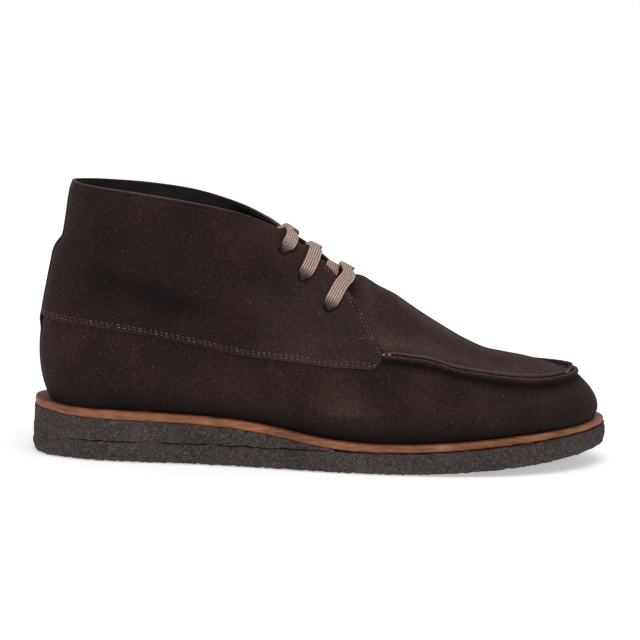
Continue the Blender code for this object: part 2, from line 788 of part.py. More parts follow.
def build_lace(finish, collection):
    """One flat lace: a bar over each row of holes, and a crossing under the facings between."""
    holes = eyelets()
    bars = [(lift, bow) for _, _, lift, bow in EYELET_ROWS]
    path = eyelet_turn(*holes[0], *bars[0], rising=True)[5:]
    for k, bar in enumerate(bars):
        outer, inner = holes[2 * k : 2 * k + 2]
        path += lace_run(outer, inner, *bar)
        turn = eyelet_turn(*inner, *bar, rising=False)
        if k + 1 < len(bars):
            following = holes[2 * k + 2]
            path += turn + lace_run(inner, following)
            path += eyelet_turn(*following, *bars[k + 1], rising=True)
        else:
            path += turn[:5]
    bm = bmesh.new()
    rings = []
    for k, (centre, side, width) in enumerate(path):
        before, after = path[max(k - 1, 0)][0], path[min(k + 1, len(path) - 1)][0]
        along = (after - before).normalized()
        side = (side - along * side.dot(along)).normalized()
        rise = along.cross(side) * LACE_THICK / 2
        half = side * width / 2
        corners = (centre - half - rise, centre + half - rise, centre + half + rise, centre - half + rise)
        rings.append([bm.verts.new(c) for c in corners])
    for low, high in zip(rings, rings[1:]):
        for k in range(4):
            bm.faces.new([low[k], low[(k + 1) % 4], high[(k + 1) % 4], high[k]])
    bm.faces.new(rings[0][::-1])
    bm.faces.new(rings[-1])
    return add_object("lace", bm, finish, collection)


def centre_on_origin(collection):
    """Moves the meshes so that the origin lies under the middle of the whole boot."""
    corners = [v.co for obj in collection.objects for v in obj.data.vertices]
    low = [min(c[k] for c in corners) for k in range(3)]
    high = [max(c[k] for c in corners) for k in range(3)]
    shift = Vector(((low[0] + high[0]) / 2, (low[1] + high[1]) / 2, low[2]))
    for obj in collection.objects:
        obj.data.transform(Matrix.Translation(-shift))


def main():
    clear_scene()
    boot = make_collection("ankle_boot")
    suede = material("brown_suede", (0.035, 0.019, 0.014), 0.95)
    crepe = material("dark_crepe_rubber", (0.06, 0.05, 0.045), 0.9)
    tan = material("tan_leather", (0.35, 0.13, 0.06), 0.6)
    lining = material("black_lining_leather", (0.02, 0.02, 0.022), 0.6)
    lace = material("taupe_cotton_lace", (0.3, 0.2, 0.17), 0.9)
    build_outsole(crepe, boot)
    build_heel_wedge(crepe, boot)
    build_midsole(tan, boot)
    build_insole(lining, boot)
    build_upper(suede, boot)
    build_tongue(suede, boot)
    build_lace(lace, boot)
    centre_on_origin(boot)


main()
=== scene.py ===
# %% [markdown]
# # A moccasin-toe ankle boot in dark brown suede
#
# This lesson dresses a plain solid model of one ankle boot. The real boot is sewn from suede
# panels over a last, lined, closed with a flat cotton lace and glued to a sole of leather and
# crepe rubber. Each step below takes one of those pieces, says what it is on the real boot, and
# builds it from a few named sizes and small tables, so that every number can be read and changed.
# The solid model is loaded first and stays fixed. New pieces stand in its place where the solid is
# too plain to show.

# %% Tools and the fixed frame
import json
import math

import bmesh
import bpy
import numpy as np
from mathutils import Matrix, Vector, noise

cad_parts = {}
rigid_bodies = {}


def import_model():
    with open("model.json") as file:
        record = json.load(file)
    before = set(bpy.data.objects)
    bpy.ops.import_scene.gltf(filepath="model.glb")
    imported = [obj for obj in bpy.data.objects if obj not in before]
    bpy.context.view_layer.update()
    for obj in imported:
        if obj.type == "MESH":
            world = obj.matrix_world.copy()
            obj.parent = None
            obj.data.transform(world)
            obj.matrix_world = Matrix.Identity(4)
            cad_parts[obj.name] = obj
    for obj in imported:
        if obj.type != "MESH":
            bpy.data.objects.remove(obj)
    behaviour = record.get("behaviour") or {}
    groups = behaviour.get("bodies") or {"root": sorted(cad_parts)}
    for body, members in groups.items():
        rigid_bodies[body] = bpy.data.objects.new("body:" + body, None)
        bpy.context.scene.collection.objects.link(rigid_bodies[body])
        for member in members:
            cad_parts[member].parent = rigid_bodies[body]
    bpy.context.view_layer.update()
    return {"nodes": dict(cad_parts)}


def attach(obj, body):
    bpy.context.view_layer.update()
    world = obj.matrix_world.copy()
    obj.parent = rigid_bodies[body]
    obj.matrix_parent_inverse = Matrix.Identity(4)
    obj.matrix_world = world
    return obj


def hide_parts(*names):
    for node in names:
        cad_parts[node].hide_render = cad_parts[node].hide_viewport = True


for old in list(bpy.data.objects):  # an empty stage to begin with
    bpy.data.objects.remove(old, do_unlink=True)
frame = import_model()
MM = 0.001
print("solid model:", sorted(frame["nodes"]))

# %% [markdown]
# ## Sizes
#
# Everything on the boot is worked out in millimetres, with x counted from the back end of the sole
# towards the toe, minus y on the little-toe side and z up from the floor. The finished meshes are
# moved by one fixed step into the frame of the solid model, whose origin lies under its middle.

# %% Driving sizes
SOLE_LENGTH = 301.0
TO_FRAME = np.array([-SOLE_LENGTH / 2, 1.45, 0.0])
GAP = 0.3  # between touching pieces
SUEDE = 1.4  # thickness of one suede panel
LINING = 0.9
OVERLAY = 1.5  # how far the quarters stand over the lower wall
STRIP_STATION = 0.33  # half the width of the strip up the heel, in stations
THROAT = 0.34  # share of the facing's length that is sewn down on the plug
THROAT_COLUMNS = 0.45  # stations of the plug that end on the throat
# The quarter's lower front corner: its lap below the seam, where the lap begins in stations behind
# the facing, and the share of that stretch taken by the round of the corner.
CORNER_DROP, CORNER_BACK, CORNER_ROUND = 9.2, 1.3, 0.15
FACING = 7  # the station whose line runs up the front edge of the quarters
FLAT_END, WEDGE_END = 192.0, 158.0

# %% [markdown]
# ## Tables
#
# A last maker describes a foot by its sections. The same is done here: a station is a section
# across the boot, counted from the middle of the heel (0) to the tip of the toe (14). Each table
# gives a few points of each section, and smooth curves run through them.

# %% Tables of the sole
# Plan outline: distance along the boot, outer edge, inner edge.
SOLE_PLAN = (
    (0.0, 0.0, 0.0),
    (4.0, -15.5, 15.5),
    (15.0, -26.5, 26.5),
    (38.0, -35.5, 35.0),
    (90.0, -39.5, 34.0),
    (122.0, -45.0, 36.0),
    (160.0, -52.5, 42.0),
    (192.0, -55.3, 49.5),
    (221.0, -54.7, 52.5),
    (243.0, -51.0, 51.3),
    (263.0, -43.5, 47.0),
    (285.0, -27.5, 35.5),
    (297.0, -10.5, 20.5),
    (301.0, 4.5, 4.5),
)
# Side view: distance along, ground side, seam of the crepe layers, midsole's under and upper face.
SOLE_LAYERS = (
    (0.0, 0.0, 10.6, 24.9, 29.2),
    (20.0, 0.0, 10.6, 22.9, 27.3),
    (60.0, 0.0, 10.7, 21.7, 26.0),
    (95.0, 0.0, 10.8, 20.5, 24.8),
    (120.0, 0.0, 10.9, 18.4, 22.6),
    (135.0, 0.0, 11.0, 15.9, 20.0),
    (151.0, 0.0, 11.2, 13.2, 17.1),
    (170.0, 0.0, 11.3, 11.6, 15.4),
    (192.0, 0.0, 11.4, 11.7, 15.3),
    (210.0, 0.6, 12.3, 12.6, 16.1),
    (231.0, 2.0, 14.1, 14.4, 17.8),
    (262.0, 4.9, 17.2, 17.5, 20.8),
    (284.0, 7.6, 19.3, 19.6, 22.8),
    (301.0, 10.0, 20.9, 21.2, 24.4),
)

# %% Tables of the upper
# The lower wall: its foot on the midsole, how far it bulges, and the seam along its top.
# foot_x, foot_outer, foot_inner, bulge, seam_x, seam_outer, seam_inner, seam_z
LOWER_WALL = (
    (9.4, 0.0, 0.0, 8.8, 6.2, 0.0, 0.0, 74.5),
    (13.5, -17.5, 17.5, 9.5, 9.5, -18.5, 18.0, 74.2),
    (30.0, -29.5, 29.0, 9.5, 25.0, -31.0, 30.5, 72.8),
    (60.0, -32.0, 30.5, 9.0, 57.0, -35.5, 34.0, 69.2),
    (92.0, -35.0, 29.5, 9.0, 89.0, -38.5, 35.5, 64.0),
    (122.0, -39.5, 30.0, 9.5, 119.0, -41.5, 37.5, 58.6),
    (150.0, -44.5, 34.5, 10.0, 149.0, -44.0, 40.0, 55.4),
    (176.0, -48.5, 41.5, 10.5, 181.5, -44.5, 42.0, 59.8),
    (200.0, -49.5, 46.5, 10.5, 203.0, -43.5, 42.0, 57.0),
    (224.0, -48.5, 48.0, 10.0, 223.0, -41.5, 41.0, 52.0),
    (247.0, -44.0, 45.5, 9.0, 243.0, -37.0, 38.0, 47.9),
    (267.0, -36.0, 39.0, 8.0, 261.0, -29.0, 31.5, 46.1),
    (283.0, -24.0, 29.0, 7.4, 273.8, -17.5, 22.0, 46.8),
    (292.0, -9.5, 16.5, 7.0, 280.6, -6.5, 11.5, 48.0),
    (294.4, 3.5, 3.5, 7.0, 282.2, 2.6, 2.6, 48.5),
)
# The quarters' collar and pull points:
# collar_x, collar_outer, collar_inner, collar_z_outer, collar_z_inner, pull x, outer, inner, z
QUARTERS = (
    (20.2, 0.0, 0.0, 142.0, 142.0, 9.6, 0.0, 0.0, 108.0),
    (23.0, -12.5, 12.5, 141.4, 141.5, 15.0, -16.5, 16.0, 108.0),
    (35.0, -25.0, 25.0, 140.2, 140.6, 28.0, -28.0, 27.5, 106.0),
    (57.0, -31.5, 31.5, 138.0, 139.0, 56.0, -33.0, 32.0, 104.0),
    (82.0, -33.0, 33.0, 134.4, 135.6, 87.0, -35.0, 33.5, 101.0),
    (104.0, -29.0, 29.0, 129.6, 129.4, 114.0, -35.5, 33.5, 99.0),
    (120.5, -18.5, 18.5, 122.6, 122.2, 139.0, -31.0, 29.5, 98.0),
    (130.0, -8.5, 8.5, 116.2, 116.2, 165.5, -22.0, 21.0, 97.5),
)
# The top of the foot in side view, from the lacing to the toe.
CREST = (
    (116.0, 125.6),
    (128.0, 119.0),
    (149.6, 107.2),
    (165.0, 99.0),
    (184.0, 87.6),
    (198.0, 78.3),
    (211.6, 70.2),
    (225.0, 62.8),
    (235.0, 58.6),
    (246.0, 56.6),
    (256.0, 55.0),
    (266.0, 52.4),
    (274.0, 49.8),
    (286.0, 46.6),
)
# The plug: where each section meets the crest, and its pull point's two sides.
PLUG = (
    (163.0, -14.0, 14.0),
    (187.0, -23.0, 22.0),
    (214.0, -23.8, 23.4),
    (237.0, -20.0, 21.0),
    (255.0, -15.0, 17.0),
    (266.5, -9.0, 12.0),
    (273.2, -3.0, 7.0),
    (275.8, 2.0, 2.0),
)
# Where the lacing's cross lines meet the crest: height on the facing, distance along.
LACING_LINES = ((0.20, 182.0), (0.45, 164.5), (0.71, 147.0), (0.95, 130.7), (1.0, 127.0))
LACING_SLANT = 0.19
# The eyelets: height on the facing, stations behind its edge, lift of the bar above, and how far
# the bar bows up the throat between its holes.
EYELET_ROWS = ((0.435, 0.58, 0.6, 0.073), (0.7, 0.83, 0.6, 0.075), (0.94, 1.0, 1.7, 0.045))
EYELET_RADIUS = 2.4
print("stations:", len(LOWER_WALL), "eyelets:", 2 * len(EYELET_ROWS))


# %% Curves through tables
def hermite(left, right, left_slope, right_slope, share):
    """A cubic between two values, with slopes per unit of share."""
    s2, s3 = share * share, share**3
    return (
        (2 * s3 - 3 * s2 + 1) * left
        + (s3 - 2 * s2 + share) * left_slope
        + (3 * s2 - 2 * s3) * right
        + (s3 - s2) * right_slope
    )


def table_curve(xs, ys):
    """A smooth function through (x, y) rows, held flat past its ends."""
    xs, ys = np.asarray(xs, float), np.asarray(ys, float)
    slopes = np.gradient(ys, xs)

    def value(x):
        x = min(max(x, xs[0]), xs[-1])
        k = min(int(np.searchsorted(xs, x, "right")) - 1, len(xs) - 2)
        step = xs[k + 1] - xs[k]
        share = (x - xs[k]) / step
        return float(hermite(ys[k], ys[k + 1], slopes[k] * step, slopes[k + 1] * step, share))

    return value


def row_curve(rows, closed=False):
    """A smooth function through evenly counted rows; a closed one joins last to first."""
    rows = np.asarray(rows, float)
    count = len(rows)

    def row(k):
        if closed:
            return rows[k % count]
        if k < 0:
            return 2 * rows[0] - rows[1]
        if k >= count:
            return 2 * rows[-1] - rows[-2]
        return rows[k]

    def value(station):
        k = int(math.floor(station))
        if not closed:
            k = min(max(k, 0), count - 2)
        a, b, c, d = (row(k + i) for i in (-1, 0, 1, 2))
        return hermite(b, c, (c - a) / 2, (d - b) / 2, station - k)

    return value


# %% Steps, bends and hills
def ease(share):
    """A smooth step from 0 to 1, for a number or an array."""
    share = np.clip(share, 0.0, 1.0)
    return share * share * (3 - 2 * share)


def bend(start, pull, end, share):
    """Points on the curve that leaves start for pull and arrives at end from pull."""
    share = np.asarray(share, float)[..., None]
    return (1 - share) ** 2 * start + 2 * share * (1 - share) * pull + share**2 * end


def bell(x, middle, width):
    """A smooth hill: 1 at its middle and soft on both sides, for a number or an array."""
    return np.exp(-(((x - middle) / width) ** 2))


def ripple(*place):
    """Smooth noise from -1 to 1 at a place; the same each run."""
    return noise.noise(Vector((*place, 0.0, 0.0)[:3]))


# %% [markdown]
# ## The upper's own functions
#
# Each section of the upper is two curves. The lower wall leaves the midsole, bulges and comes in
# to the seam. Above it, either the quarter goes on to the collar (behind the facing) or the plug
# runs up to the crest of the foot (in front of it). These are the very curves that the solid
# model was built from, so the dressed boot keeps its size.

# %% Sections of the upper
OUTER, INNER = 0, 1
WALL_PULL_HIGH = 0.4  # share of the wall's height at which it bulges most
PLUG_PULL_AHEAD = 0.6  # share of the way from seam to crest, along the boot, of the plug's pull
SHOULDER = 0.45  # how wide the throat's end still is beside the crest
TOE_SWING = 2.0  # how far the crest moves to the inner side over the last two stations
TOE = len(LOWER_WALL) - 1
LAYER_X = [row[0] for row in SOLE_LAYERS]
ground_curve, split_z, under_midsole_z, over_midsole_z = (
    table_curve(LAYER_X, [row[k] for row in SOLE_LAYERS]) for k in (1, 2, 3, 4)
)


def ring_of(columns):
    """Rows once round the boot: outer side heel to toe, then back along the inner side."""
    table = np.array(LOWER_WALL)
    outer, inner = table[:, columns[OUTER]], table[:, columns[INNER]]
    return row_curve(np.concatenate([outer, inner[-2:0:-1]]), closed=True)


foot_ring = ring_of(((0, 1, 3), (0, 2, 3)))
seam_ring = ring_of(((4, 5, 7), (4, 6, 7)))
collar_lines = tuple(row_curve([(q[0], q[1 + s], q[3 + s]) for q in QUARTERS]) for s in (0, 1))
pull_lines = tuple(row_curve([(q[5], q[6 + s], q[8]) for q in QUARTERS]) for s in (0, 1))
plug_lines = tuple(row_curve([(p[0], p[1 + s]) for p in PLUG]) for s in (0, 1))
crest_z = table_curve(*zip(*CREST))
lacing_x = table_curve(*zip(*LACING_LINES))


def corner_drop(station):
    """How far the quarter's lower front corner laps down over the wall, below the seam."""
    back = (station - FACING + CORNER_BACK) / CORNER_BACK
    if not 0 < back < 1:
        return 0.0
    turned = max(0.0, 1 - (1 - back) / CORNER_ROUND)
    return CORNER_DROP * back**1.25 * math.sqrt(1 - turned**2)


def wall_curve(side, station):
    """Start, pull and end of the lower wall's section."""
    place = station if side == OUTER else (2 * TOE - station) % (2 * TOE)
    x, y, bulge = foot_ring(place)
    before, after = foot_ring(place - 0.05), foot_ring(place + 0.05)
    run = Vector((after[0] - before[0], after[1] - before[1])).normalized()
    seam = seam_ring(place)
    foot = np.array([x, y, over_midsole_z(x) + GAP])
    height = foot[2] + WALL_PULL_HIGH * (seam[2] - foot[2])
    return foot, np.array([x + bulge * run.y, y - bulge * run.x, height]), seam


def quarter_curve(side, station):
    """Start, pull and end of the quarter's section."""
    return wall_curve(side, station)[2], pull_lines[side](station), collar_lines[side](station)


def plug_curve(side, station):
    """Start, pull and end of the plug's section; near the facing it ends along the throat."""
    seam = wall_curve(side, station)[2]
    past = station - FACING
    crest_x, pull_y = plug_lines[side](past)
    if past < THROAT_COLUMNS:
        corner_x = plug_lines[side](THROAT_COLUMNS)[0]
        corner = np.array([corner_x, 0.0, crest_z(corner_x)])
        edge = bend(*quarter_curve(side, FACING), THROAT)
        shoulder = np.array([corner_x, SHOULDER * edge[1], corner[2]])
        top = bend(edge, shoulder, corner, past / THROAT_COLUMNS)
    else:
        top = np.array([crest_x, 0.0, crest_z(crest_x)])
    top[1] += TOE_SWING * (max(0.0, station - TOE + 2) / 2) ** 2
    pull_x = (1 - PLUG_PULL_AHEAD) * seam[0] + PLUG_PULL_AHEAD * top[0]
    pull = np.array([pull_x, pull_y, top[2]])
    start, facing_pull, _ = quarter_curve(side, FACING)
    first_pull = start + THROAT * (facing_pull - start)
    blend = ease(past)
    return seam, (1 - blend) * first_pull + blend * pull, top


# %% The throat, where the lacing lies
def throat_surface(across, row):
    """The surface the lacing lies on: -1 and 1 are the facings' edges, 0 is the crest."""
    side = OUTER if across < 0 else INNER
    reach = abs(across)
    if reach >= 1:
        lower = row - LACING_SLANT * (reach - 1)
        return bend(*quarter_curve(side, FACING + 1 - reach), lower)
    edge, other = (bend(*quarter_curve(s, FACING), row) for s in (side, 1 - side))
    x = lacing_x(row)
    crest = np.array([x, 0.0, crest_z(x)])
    behind = throat_surface(-1.1 if side == OUTER else 1.1, row)
    rise = (edge - behind) / np.linalg.norm(edge - behind) * np.linalg.norm(crest - edge)
    return hermite(crest, edge, (edge - other) / 2, -rise, reach)


def throat_frame(across, row):
    """A point of the throat surface, its outward normal and the direction across."""
    step = 0.02
    point = Vector(throat_surface(across, row))
    ahead = Vector(throat_surface(across + step, row)) - Vector(throat_surface(across - step, row))
    up = Vector(throat_surface(across, row + step)) - Vector(throat_surface(across, row - step))
    return point, ahead.cross(up).normalized(), ahead.normalized()


# %% [markdown]
# ## Folds
#
# Suede that has stood on a shelf settles. Over the top of the heel stiffener the quarter sinks in
# a soft fold that runs forward and down from the back seam, and the ankle carries a few shallow
# hollows. Each one is listed as a trough with a start, an end, a depth and a softness on
# both sides, because a few placed folds read as leather where an even noise reads as clay.

# %% Listed folds
FOLD_CENTRE_X = 72.0
# start x, z, end x, z, depth, softness above, softness below, whether it runs out on its way
FOLDS = (
    (13.0, 113.0, 110.0, 91.0, 3.6, 22.0, 5.0, True),
    (14.0, 99.0, 108.0, 72.0, 2.0, 10.0, 13.0, False),
    (96.0, 112.0, 138.0, 92.0, 0.8, 9.0, 9.0, False),
    (60.0, 126.0, 105.0, 116.0, 0.6, 8.0, 8.0, False),
    (40.0, 52.0, 130.0, 44.0, 0.5, 8.0, 8.0, False),
)
# Where the ankle bends, shade is painted into the crease: the same columns, with strength for
# depth.
CREASE_SHADES = ((22.0, 100.0, 100.0, 76.0, 0.62, 6.5, 7.5, False),)


def fold_depth(x, z, folds=FOLDS):
    """How far all folds together draw the surface in, at places in side view."""
    depth = 0.0
    for x0, z0, x1, z1, deep, above, below, runs_out in folds:
        run_x, run_z = x1 - x0, z1 - z0
        length = math.hypot(run_x, run_z)
        along = ((x - x0) * run_x + (z - z0) * run_z) / length**2
        across = ((z - z0) * run_x - (x - x0) * run_z) / length
        width = np.where(across > 0, above, below)
        if runs_out:
            fade = (1 - np.clip(along, 0, 1)) ** 2
        else:
            fade = np.exp(-((2 * along - 1) ** 4))
        depth = depth + deep * fade * bell(across, 0.0, width)
    return depth


def draw_in(points):
    """Moves points towards the middle of the ankle by the depth of the folds there."""
    points = np.array(points, float)
    inward = np.array([FOLD_CENTRE_X, 0.0, 0.0]) - points
    inward[..., 2] = 0.0
    length = np.linalg.norm(inward, axis=-1, keepdims=True)
    deep = fold_depth(points[..., 0], points[..., 2])[..., None]
    return points + inward / np.maximum(length, 1.0) * deep


# %% [markdown]
# ## From a grid of points to a panel of leather
#
# A sewn panel is a curved sheet of even thickness with a cut edge all round. Here a panel starts
# as a grid of points on the boot's surface. Its outward direction is averaged over the faces round
# each point, the two faces of the leather are set off along it, and the edges are closed. Points
# that fall together, as at the toe, are shared, so the panel has no open pole. Each point also
# carries its wear and shading, from -1 where shade is painted dark to 1 on a rubbed pale edge or a
# painted highlight. The suede reads it.


# %% Panels from grids
def join_grid(bm, points, skip=()):
    """Adds the grid's shared vertices and faces; returns the vertex at each grid place."""
    made, grid = {}, []
    for column in points:
        line = []
        for point in column:
            key = tuple(round(float(c), 3) for c in point)
            if key not in made:
                made[key] = bm.verts.new(point)
            line.append(made[key])
        grid.append(line)
    for left, right in zip(grid, grid[1:]):
        for k in range(len(left) - 1):
            corners = [left[k], right[k], right[k + 1], left[k + 1]]
            kept = [c for i, c in enumerate(corners) if c is not corners[i - 1]]
            if k not in skip and len(set(kept)) > 2:
                bm.faces.new(kept)
    return grid


def outward(points, skip=()):
    """The outward direction at each place of a grid of points."""
    sheet = bmesh.new()
    grid = join_grid(sheet, points, skip)
    sheet.normal_update()
    directions = np.array([[v.normal[:] for v in line] for line in grid])
    sheet.free()
    return directions


# %% A closed panel
def panel(name, points, directions, outer, inner, skip=(), wear_and_shading=0.0):
    """A closed panel: outer and inner give each place's two offsets along its direction."""
    bm, sheet = bmesh.new(), bmesh.new()
    wear_and_shading_layer = bm.verts.layers.float.new("wear_and_shading")
    shape = points.shape[:2]
    front_points = points + directions * np.broadcast_to(outer, shape)[..., None]
    back_points = points + directions * np.broadcast_to(inner, shape)[..., None]
    base = join_grid(sheet, points, skip)
    front, back = {}, {}
    for line, *rest in zip(base, front_points, back_points, np.broadcast_to(wear_and_shading, shape)):
        for vert, front_point, back_point, amount in zip(line, *rest):
            if vert not in front:
                front[vert], back[vert] = bm.verts.new(front_point), bm.verts.new(back_point)
                front[vert][wear_and_shading_layer] = back[vert][wear_and_shading_layer] = float(amount)
    for face in sheet.faces:
        corners = list(face.verts)
        bm.faces.new([front[v] for v in corners])
        bm.faces.new([back[v] for v in reversed(corners)]).material_index = 1
    for edge in sheet.edges:
        if len(edge.link_faces) == 1:
            loop = edge.link_loops[0]
            a, b = loop.vert, loop.link_loop_next.vert
            bm.faces.new([front[b], front[a], back[a], back[b]]).material_index = 2
    sheet.free()
    return finish_mesh(name, bm)


# %% From a mesh to a piece of the boot
def mesh_from(name, bm):
    """A mesh with the contents of a bmesh, which is let go."""
    mesh = bpy.data.meshes.new(name)
    bm.to_mesh(mesh)
    bm.free()
    return mesh


def new_object(name, data):
    """An object at the origin of the scene, around a mesh, a camera or a light."""
    obj = bpy.data.objects.new(name, data)
    bpy.context.scene.collection.objects.link(obj)
    return obj


def finish_mesh(name, bm):
    """Turns a bmesh in millimetres into an object in the frame of the solid model."""
    bmesh.ops.recalc_face_normals(bm, faces=bm.faces)
    mesh = mesh_from(name, bm)
    mesh.transform(Matrix.Scale(MM, 4) @ Matrix.Translation(TO_FRAME))
    mesh.shade_smooth()
    mesh.set_sharp_from_angle(angle=math.radians(50))
    print(f"{name}: {len(mesh.vertices)} points")
    return new_object(name, mesh)


def settle(obj, materials, node=None):
    """Gives an object its materials, its body and the solid that it stands for."""
    obj.data.materials.clear()
    for made in materials:
        obj.data.materials.append(made)
    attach(obj, "root")
    if node:
        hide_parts(node)


# %% Even and crowded rows
FINE = np.linspace(0.0, 1.0, 161)


def run_of(line):
    """The distance from the start of a line to each of its points."""
    return np.concatenate([[0.0], np.cumsum(np.linalg.norm(np.diff(line, axis=0), axis=1))])


def rows_along(line, first, count, last=()):
    """Points at the first distances from a line's start, at the last ones from its end, and
    evenly between; also how far each lies from the start and from the end."""
    run = run_of(line)
    stop = run[-1] - last[-1] if len(last) else run[-1]
    between = np.linspace(first[-1], stop, count + 1)[1:]
    if len(last):
        between = np.concatenate([between[:-1], run[-1] - np.asarray(last)[::-1]])
    places = np.concatenate([first, between])
    points = np.column_stack([np.interp(places, run, line[:, k]) for k in range(3)])
    return points, places, run[-1] - places


def even_stations(curve, start, end, pace):
    """Stations between start and end whose points on the curve lie about pace apart."""
    fine = np.linspace(start, end, 400)
    run = run_of(np.array([curve(s)[:2] for s in fine]))
    return np.interp(np.linspace(0.0, run[-1], int(run[-1] / pace) + 1), run, fine)


def stacked(parts):
    """From a list of tuples of arrays, one array for each place in the tuple."""
    return tuple(np.array(part) for part in zip(*parts))


# %% [markdown]
# ## Colours and nodes
#
# Colours are picked as the eye reads them, in sRGB hex, and one function turns them into the
# linear light that the renderer works in. One small function adds any node with its settings and
# its links, for materials and for geometry alike.


# %% Colour and node helpers
def colour(code):
    """A linear RGBA colour from an sRGB hex code."""
    parts = [int(code[k : k + 2], 16) / 255 for k in (1, 3, 5)]
    return (*((c / 12.92 if c <= 0.04045 else ((c + 0.055) / 1.055) ** 2.4) for c in parts), 1.0)


def add_node(tree, kind, inputs=None, **settings):
    """Adds a node; settings are its properties, inputs are values or sockets to link."""
    made = tree.nodes.new(kind)
    for name, value in settings.items():
        setattr(made, name, value)
    for name, value in (inputs or {}).items():
        if isinstance(value, bpy.types.NodeSocket):
            tree.links.new(value, made.inputs[name])
        else:
            made.inputs[name].default_value = value
    return made


def new_material(name, **shader_values):
    """A material with one Principled shader whose even values are set on its own sockets."""
    made = bpy.data.materials.new(name)
    made.use_nodes = True
    shader = made.node_tree.nodes["Principled BSDF"]
    for socket, value in shader_values.items():
        shader.inputs[socket.replace("_", " ")].default_value = value
    return made, made.node_tree, shader


def ramp(tree, factor, stops):
    """Colours between stops, each a place from 0 to 1 and a hex code."""
    made = add_node(tree, "ShaderNodeValToRGB", {"Fac": factor})
    while len(made.color_ramp.elements) < len(stops):
        made.color_ramp.elements.new(0.5)
    for element, (place, code) in zip(made.color_ramp.elements, stops):
        element.position = place
        element.color = colour(code)
    return made.outputs["Color"]


def finish_shader(tree, shader, body, height, strength, depth):
    """Gives a shader its colour, and a fine relief whose depth is in metres."""
    tree.links.new(body, shader.inputs["Base Color"])
    relief = {"Height": height, "Strength": strength, "Distance": depth}
    bump = add_node(tree, "ShaderNodeBump", relief)
    tree.links.new(bump.outputs["Normal"], shader.inputs["Normal"])


# %% [markdown]
# ## Suede
#
# Suede is the flesh side of a hide, sanded until its fibres stand up as a short nap. It has no
# gloss. The nap lies one way here and another way there, which gives soft cloudy patches one to
# three centimetres wide, and bundles of fibre catch light as a fine grain. Real fibres are about
# 0.1 mm wide, too fine to show, so the grain is drawn 1 mm wide. A little sheen on the shader
# stands for the fuzz that brightens a dark nap at its edges. The wear and shading that each panel
# carries turns the colour paler along rubbed edges and under painted highlights, and darker where
# shade is painted in, and a few pale specks are lint. The panels are cut from different parts of
# the hide, so each has its own tone.


# %% Suede materials
CLOUD, NAP = 0.030, 0.0010  # metres across a soft patch and across a bundle of fibres
NAP_SHARE = 0.66  # how much of the tone comes from the nap, the rest from the patches
# The dark tone that painted shade mixes into the suede.
SHADE_TONE = "#0d0908"


def suede(name, dark, middle, light, rubbed="#89746d", lint="#65554d"):
    """Suede in three tones of one hide, with the colour of its rubbed edges, also used for painted
    highlights, and of its lint.
    """
    made, tree, shader = new_material(
        name,
        Roughness=0.94,
        Specular_IOR_Level=0.15,
        Sheen_Weight=0.05,
        Sheen_Roughness=0.45,
        Sheen_Tint=colour("#b09a8e"),
    )
    where = add_node(tree, "ShaderNodeTexCoord").outputs["Object"]
    clouds = add_node(
        tree,
        "ShaderNodeTexNoise",
        {"Vector": where, "Scale": 1 / CLOUD, "Detail": 3.0, "Roughness": 0.5},
    )
    nap = add_node(
        tree,
        "ShaderNodeTexNoise",
        {"Vector": where, "Scale": 1 / NAP, "Detail": 2.0, "Roughness": 0.6},
    )
    both = add_node(
        tree,
        "ShaderNodeMix",
        {"Factor": NAP_SHARE, "A": clouds.outputs["Fac"], "B": nap.outputs["Fac"]},
        data_type="FLOAT",
    )
    body = ramp(tree, both.outputs["Result"], ((0.37, dark), (0.5, middle), (0.63, light)))
    specks = add_node(
        tree, "ShaderNodeTexNoise", {"Vector": where, "Scale": 1 / NAP, "Detail": 0.0}
    )
    shown = add_node(
        tree,
        "ShaderNodeMapRange",
        {"Value": specks.outputs["Fac"], "From Min": 0.81, "From Max": 0.86, "To Max": 0.45},
    )
    linty = add_node(
        tree,
        "ShaderNodeMix",
        {"Factor": shown.outputs["Result"], "A": body, "B": colour(lint)},
        data_type="RGBA",
    )
    # Above 0 the wear and shading mixes in the pale tone of rubbed cut edges and painted
    # highlights; below 0, the dark tone of painted shade.
    wear_and_shading = add_node(tree, "ShaderNodeAttribute", attribute_name="wear_and_shading").outputs["Fac"]
    paler = add_node(tree, "ShaderNodeMapRange", {"Value": wear_and_shading, "To Max": 0.85})
    patchy = add_node(
        tree,
        "ShaderNodeMath",
        {0: paler.outputs["Result"], 1: nap.outputs["Fac"]},
        operation="MULTIPLY",
    )
    worn_and_lit = add_node(
        tree,
        "ShaderNodeMix",
        {"Factor": patchy.outputs["Value"], "A": linty.outputs["Result"], "B": colour(rubbed)},
        data_type="RGBA",
    )
    shade_share = add_node(
        tree, "ShaderNodeMapRange", {"Value": wear_and_shading, "From Max": -1.0, "To Max": 0.8}
    )
    shaded = add_node(
        tree,
        "ShaderNodeMix",
        {"Factor": shade_share.outputs["Result"], "A": worn_and_lit.outputs["Result"], "B": colour(SHADE_TONE)},
        data_type="RGBA",
    )
    finish_shader(tree, shader, shaded.outputs["Result"], nap.outputs["Fac"], 0.5, 0.0005)
    return made


quarter_suede = suede("dark_brown_suede", "#191010", "#251918", "#342421")
vamp_suede = suede("dark_brown_suede_vamp", "#1b1211", "#281c1a", "#382824")
plug_suede = suede("warm_brown_suede_plug", "#281b1a", "#362725", "#483532")
strip_suede = suede("brown_suede_strip", "#1e1514", "#2a1e1d", "#382a27")
raw_edge = suede("raw_suede_edge", "#4a3831", "#69534a", "#8a7266", lint="#b59d90")

